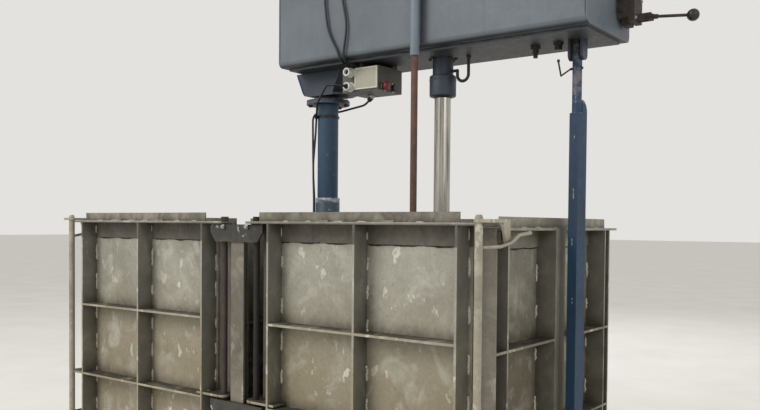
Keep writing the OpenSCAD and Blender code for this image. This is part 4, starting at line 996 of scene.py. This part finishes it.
# Column and press head
def column_details():
    """Ring beads at the column's flanges and foot, beads up the boxed bracket, and two cable ties."""
    beads = Piece("column_welds", "frame", WELD_BLUE, "blue_paint")
    beads.ring((0, 0, FLANGE_Z - FLANGE_BEAD), UP, SWIVEL_BEAD_R, 0.0045)
    beads.ring((0, 0, BASE_TOP + FOOT_BEAD), UP, FOOT_BEAD_R, 0.005)
    for s in (-1, 1):
        for y in (-SHELF_HALF_Y, SHELF_HALF_Y):
            beads.bead((s * SHELF_HALF_LOW, y, SHELF_Z), (s * SHELF_HALF_HIGH, y, SOLE - 0.003), 0.004)
    beads.ring((0, 0, FLANGE_Z + FLANGE_BEAD), UP, SWIVEL_BEAD_R, 0.0045)
    beads.done()
    ties = Piece("cable_ties", "frame", BLACK, "black_plastic")
    r, inner, half = CABLE_TIE_R, CABLE_TIE_R - 0.0016, 0.0022
    for z in CABLE_TIES:
        ties.lathe((0, 0, z), UP, [(inner, -half), (r, -half), (r, half), (inner, half)], 48)
        ties.box((r - 0.002, -0.004, z - 0.0035), (r + 0.004, 0.004, z + 0.0035), 0.0008)
    ties.done()


def beam_seams():
    """Weld beads along the beam's sole plate and round its end plates."""
    seams = Piece("beam_welds", "frame", WELD_DARK, "slate_paint")
    z = SOLE + SOLE_T - 0.0005
    for s in (-1, 1):
        y = s * (SOLE_HALF + HAIR)
        seams.stitches((beam_low.x + 0.03, y, z), (beam_high.x - 0.03, y, z),
                       length=0.06, pitch=0.12, r=0.004)
    off, top = 0.0002, beam_high.z + 0.0002
    for x in (beam_low.x + END_SEAM, beam_high.x - END_SEAM):
        for y in (beam_low.y - off, beam_high.y + off):
            seams.bead((x, y, beam_low.z + 0.035), (x, y, beam_high.z - 0.004), 0.0022, 0.008)
        seams.bead((x, beam_low.y + 0.01, top), (x, beam_high.y - 0.01, top), 0.0022, 0.008)
    seams.done()


def cylinder_bolts():
    """Bolts round the cylinder's neck under the beam, and on the cap at its top."""
    neck = Piece("neck_bolts", "frame", DARK, "dark_steel")
    for p in circle(NECK_BOLTS_R, 8, first=22.5):
        neck.nut(p + Vector((MIDDLE, 0, SOLE)), DOWN, 0.008, 0.007, washer=0.0098)
    neck.done()
    cap = Piece("cylinder_cap_bolts", "frame", DARK, "dark_steel")
    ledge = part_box("cylinder_cap")[1].z - 0.014
    for p in circle(CAP_BOLTS_R, 8):
        cap.nut(p + Vector((MIDDLE, 0, ledge)), UP, 0.009, 0.009, washer=0.0115)
    cap.done()


def collar_details():
    """The wiper ring and grub screws of the rod's gland."""
    low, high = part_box("gland_collar")
    wiper = Piece("rod_wiper", "frame", RUBBER, "cable_rubber")
    wiper.lathe((MIDDLE, 0, low.z), DOWN, [(0.0437, 0), (0.053, 0), (0.0515, 0.004), (0.0446, 0.007)], 48)
    wiper.done()
    screws = Piece("collar_screws", "frame", DARK, "dark_steel")
    centre = Vector((MIDDLE, 0, high.z - 0.022))
    for out in circle(1, 6, first=30):
        at = centre + out * COLLAR_SCREWS_R
        screws.bar(at - out * 0.002, at + out * 0.0012, 0.005, 12)
    screws.done()


column_details()
beam_seams()
cylinder_bolts()
collar_details()


# Control box
def cover_details():
    """The cover's raised edge and its screws, and two screws in the box's front beside it."""
    front = cover_low.y
    edge = Piece("cover_edge", "frame", CREAM_EDGE, "cream_cover")
    width, inset, rounding = 0.007, 0.002, 0.0006
    y0, y1 = front - 0.0016, front + HAIR
    x0, x1 = cover_low.x + inset, cover_high.x - inset
    z0, z1 = cover_low.z + inset, cover_high.z - inset
    edge.box((x0, y0, z0), (x1, y1, z0 + width), rounding)
    edge.box((x0, y0, z1 - width), (x1, y1, z1), rounding)
    edge.box((x0, y0, z0 + width), (x0 + width, y1, z1 - width), rounding)
    edge.box((x1 - width, y0, z0 + width), (x1, y1, z1 - width), rounding)
    edge.done()
    screws = Piece("cover_screws", "frame", BRIGHT, "bright_steel")
    in_from_edge, head_r = 0.014, 0.0038
    for x in (cover_low.x + in_from_edge, cover_high.x - in_from_edge):
        for z in (cover_low.z + in_from_edge, cover_high.z - in_from_edge):
            screws.screw((x, front, z), FRONT_WAY, head_r)
    for z in BOX_SCREW_ZS:
        screws.screw((BOX_SCREW_X, box_low.y, z), FRONT_WAY, head_r)
    screws.done()


def button_rims():
    """Flat bright rims round the two push buttons."""
    rims = Piece("button_rims", "frame", BRIGHT, "bright_steel")
    for node in ("stop_button", "start_button"):
        rims.lathe((box_high.x, middle(node).y, BUTTON_Z), RIGHT_WAY, BUTTON_RIM, 40)
    rims.done()


def gland_details():
    """Grip teeth and rubber seals of the cable glands. The upper gland is blind and has a plug."""
    teeth = Piece("gland_teeth", "frame", WHITE, "white_plastic")
    seals = Piece("gland_seals", "frame", RUBBER, "cable_rubber")
    for z in GLAND_ZS:
        for k in range(GLAND_TEETH):
            a = 2 * math.pi * k / GLAND_TEETH
            out = Vector((math.cos(a), 0, math.sin(a))) * GLAND_TEETH_R
            at = Vector((GLAND_X, GLAND_TIP + 0.002, z)) + out
            teeth.bar(at, at + BACK_WAY * 0.018, 0.0017, 8)
        seals.lathe((GLAND_X, GLAND_TIP + 0.0185, z), FRONT_WAY,
                    [(CABLE_FIT, 0), (0.0149, 0), (0.0149, 0.002), (CABLE_FIT, 0.0045)], 32)
    seals.lathe(SLANT_AT, SLANT, [(0.0131, 0.002), (0.0142, 0.002), (0.0142, 0.010), (0.0135, 0.012),
                                  (0.0133, 0.0275), (0.0064, 0.0275), (0.0064, 0.0262), (0.0131, 0.0262)], 28)
    lower_z, upper_z = GLAND_ZS
    seals.bar((GLAND_X, GLAND_TIP + 0.019, upper_z), (GLAND_X, GLAND_TIP + 0.0155, upper_z), 0.0065, 24)
    seals.lathe((GLAND_X, GLAND_TIP + 0.008, lower_z), FRONT_WAY,
                [(CABLE_FIT, 0), (0.0120, 0), (0.0110, 0.008), (0.0072, 0.026), (CABLE_FIT, 0.026)], 28)
    teeth.done()
    seals.done()


cover_details()
button_rims()
gland_details()


# Tie post, valve and tank fittings
def post_details():
    """Pale specks down the tie post's front, and weld beads at its foot, tube and socket."""
    specks = Piece("tie_post_specks", "frame", WELD, "light_zinc")
    for low, high, aside in POST_SPECKS:
        x = POST_X + aside
        specks.stitches((x, POST_FACE, high), (x, POST_FACE, low),
                        length=0.012, pitch=0.016, r=0.0022, uneven=0.5)
    x = POST_X + 0.004
    specks.stitches((x, TUBE_FACE, 2.221), (x, TUBE_FACE, 2.169),
                    length=0.012, pitch=0.018, r=0.0020, uneven=0.5)
    specks.done()
    beads = Piece("tie_post_welds", "frame", WELD_BLUE, "blue_paint")
    beads.ring((POST_X, 0, TUBE_FOOT), UP, 0.0235, 0.003)
    socket_z = SOLE - HAIR
    for s in (-1, 1):
        x = POST_X + s * POST_BEAD_X
        beads.stitches((x, -0.028, POST_FOOT), (x, 0.068, POST_FOOT), length=0.03, pitch=0.04)
        x = POST_X + s * SOCKET_HALF
        beads.stitches((x, -SOCKET_HALF, socket_z), (x, SOCKET_HALF, socket_z),
                       length=0.025, pitch=0.03, r=0.0035)
    beads.done()


def valve_details():
    """The valve's bolts, the nuts and stubs of its pipes, and the lever's pivot nuts."""
    low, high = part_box("valve_body")
    bolts = Piece("valve_bolts", "frame", BRIGHT, "bright_steel")
    for y in VALVE_BOLT_YS:
        for z in VALVE_BOLT_ZS:
            bolts.nut((low.x + VALVE_FACE, y, z), RIGHT_WAY, 0.007, 0.006, washer=0.0095)
    bolts.done()
    fittings = Piece("valve_fittings", "frame", DARK, "dark_steel")
    for y in PORT_YS:
        port = Vector((low.x + PORT_X, y, high.z))
        fittings.nut(port, UP, 0.016, 0.016, washer=0.018)
        fittings.bar(port + UP * 0.016, port + UP * 0.030, 0.0125, 20)
    for z in SIDE_NUT_ZS:
        fittings.nut((low.x + SIDE_NUT_X, low.y, z), FRONT_WAY, 0.0085, 0.006)
    for s in (-1, 1):
        fittings.nut(LEVER_AT + BACK_WAY * s * LEVER_NUT_OUT, BACK_WAY * s, 0.0095, 0.006)
    fittings.done()


def motor_details():
    """Rings on the motor's fan cowl, its lifting eye and the screws of its terminal box."""
    low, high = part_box("motor")
    centre_z = high.z - MOTOR_DROP
    cowl = Piece("motor_cowl_rings", "frame", BLACK, "black_plastic")
    for r in COWL_RINGS:
        cowl.ring((low.x, MOTOR_Y, centre_z), RIGHT_WAY, r, 0.0014)
    cowl.done()
    eye = Piece("motor_eye", "frame", DARK, "dark_steel")
    top = Vector((low.x + 0.20, MOTOR_Y, high.z))
    eye.ring(top + UP * 0.008, BACK_WAY, 0.016, 0.0045)
    eye.bar(top - UP * 0.018, top - UP * 0.006, 0.008, 16)
    eye.done()
    screws = Piece("motor_box_screws", "frame", BRIGHT, "bright_steel")
    for x in MOTOR_BOX_XS:
        for drop in MOTOR_BOX_DROPS:
            screws.screw((x, low.y, centre_z - drop), FRONT_WAY, 0.0036)
    screws.done()


def filler_cap_ribs():
    """Grip ribs round the tank's filler cap."""
    ribs = Piece("filler_cap_ribs", "frame", BLACK, "black_plastic")
    at = middle("filler_cap")
    at.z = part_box("filler_cap")[1].z - 0.024
    for p in circle(FILLER_CAP_R, 24):
        ribs.bar(at + p, at + p + UP * 0.022, 0.0018, 6)
    ribs.done()


post_details()
valve_details()
motor_details()
filler_cap_ribs()


# Stage and light
STAGE_HALF = 90
SKY = tone(224, 222, 219)
SKY_STRENGTH = 1.04
LIGHT_SIZE = 5.0
corners = [(x * STAGE_HALF, y * STAGE_HALF, 0) for x, y in ((-1, -1), (1, -1), (1, 1), (-1, 1))]
floor_mesh = bpy.data.meshes.new("floor")
floor_mesh.from_pydata(corners, [], [(0, 1, 2, 3)])
floor = bpy.data.objects.new("floor", floor_mesh)
scene.collection.objects.link(floor)
floor.data.materials.append(floor_finish("floor", (214, 212, 208), (222, 220, 216)))

world = bpy.data.worlds.new("world")
scene.world = world
world.use_nodes = True
world.node_tree.nodes["Background"].inputs["Color"].default_value = SKY
world.node_tree.nodes["Background"].inputs["Strength"].default_value = SKY_STRENGTH


def area(name, at, target, watts, colour):
    """A round soft light at a place, turned to a target."""
    data = bpy.data.lights.new(name, "AREA")
    data.shape = "DISK"
    data.size = LIGHT_SIZE
    data.energy = watts
    data.color = colour
    o = bpy.data.objects.new(name, data)
    scene.collection.objects.link(o)
    o.location = at
    o.rotation_euler = (Vector(target) - Vector(at)).to_track_quat("-Z", "Y").to_euler()


area("key", (-3.5, -8.0, 7.5), (0.3, -0.3, 1.4), 470, (1.0, 0.985, 0.96))
area("fill", (8.0, -3.0, 5.0), (0.8, 0, 1.4), 90, (0.94, 0.97, 1.0))
area("back", (-2.0, 8.0, 7.0), (0, 0, 1.6), 250, (0.97, 0.98, 1.0))
scene.view_settings.view_transform = "Standard"
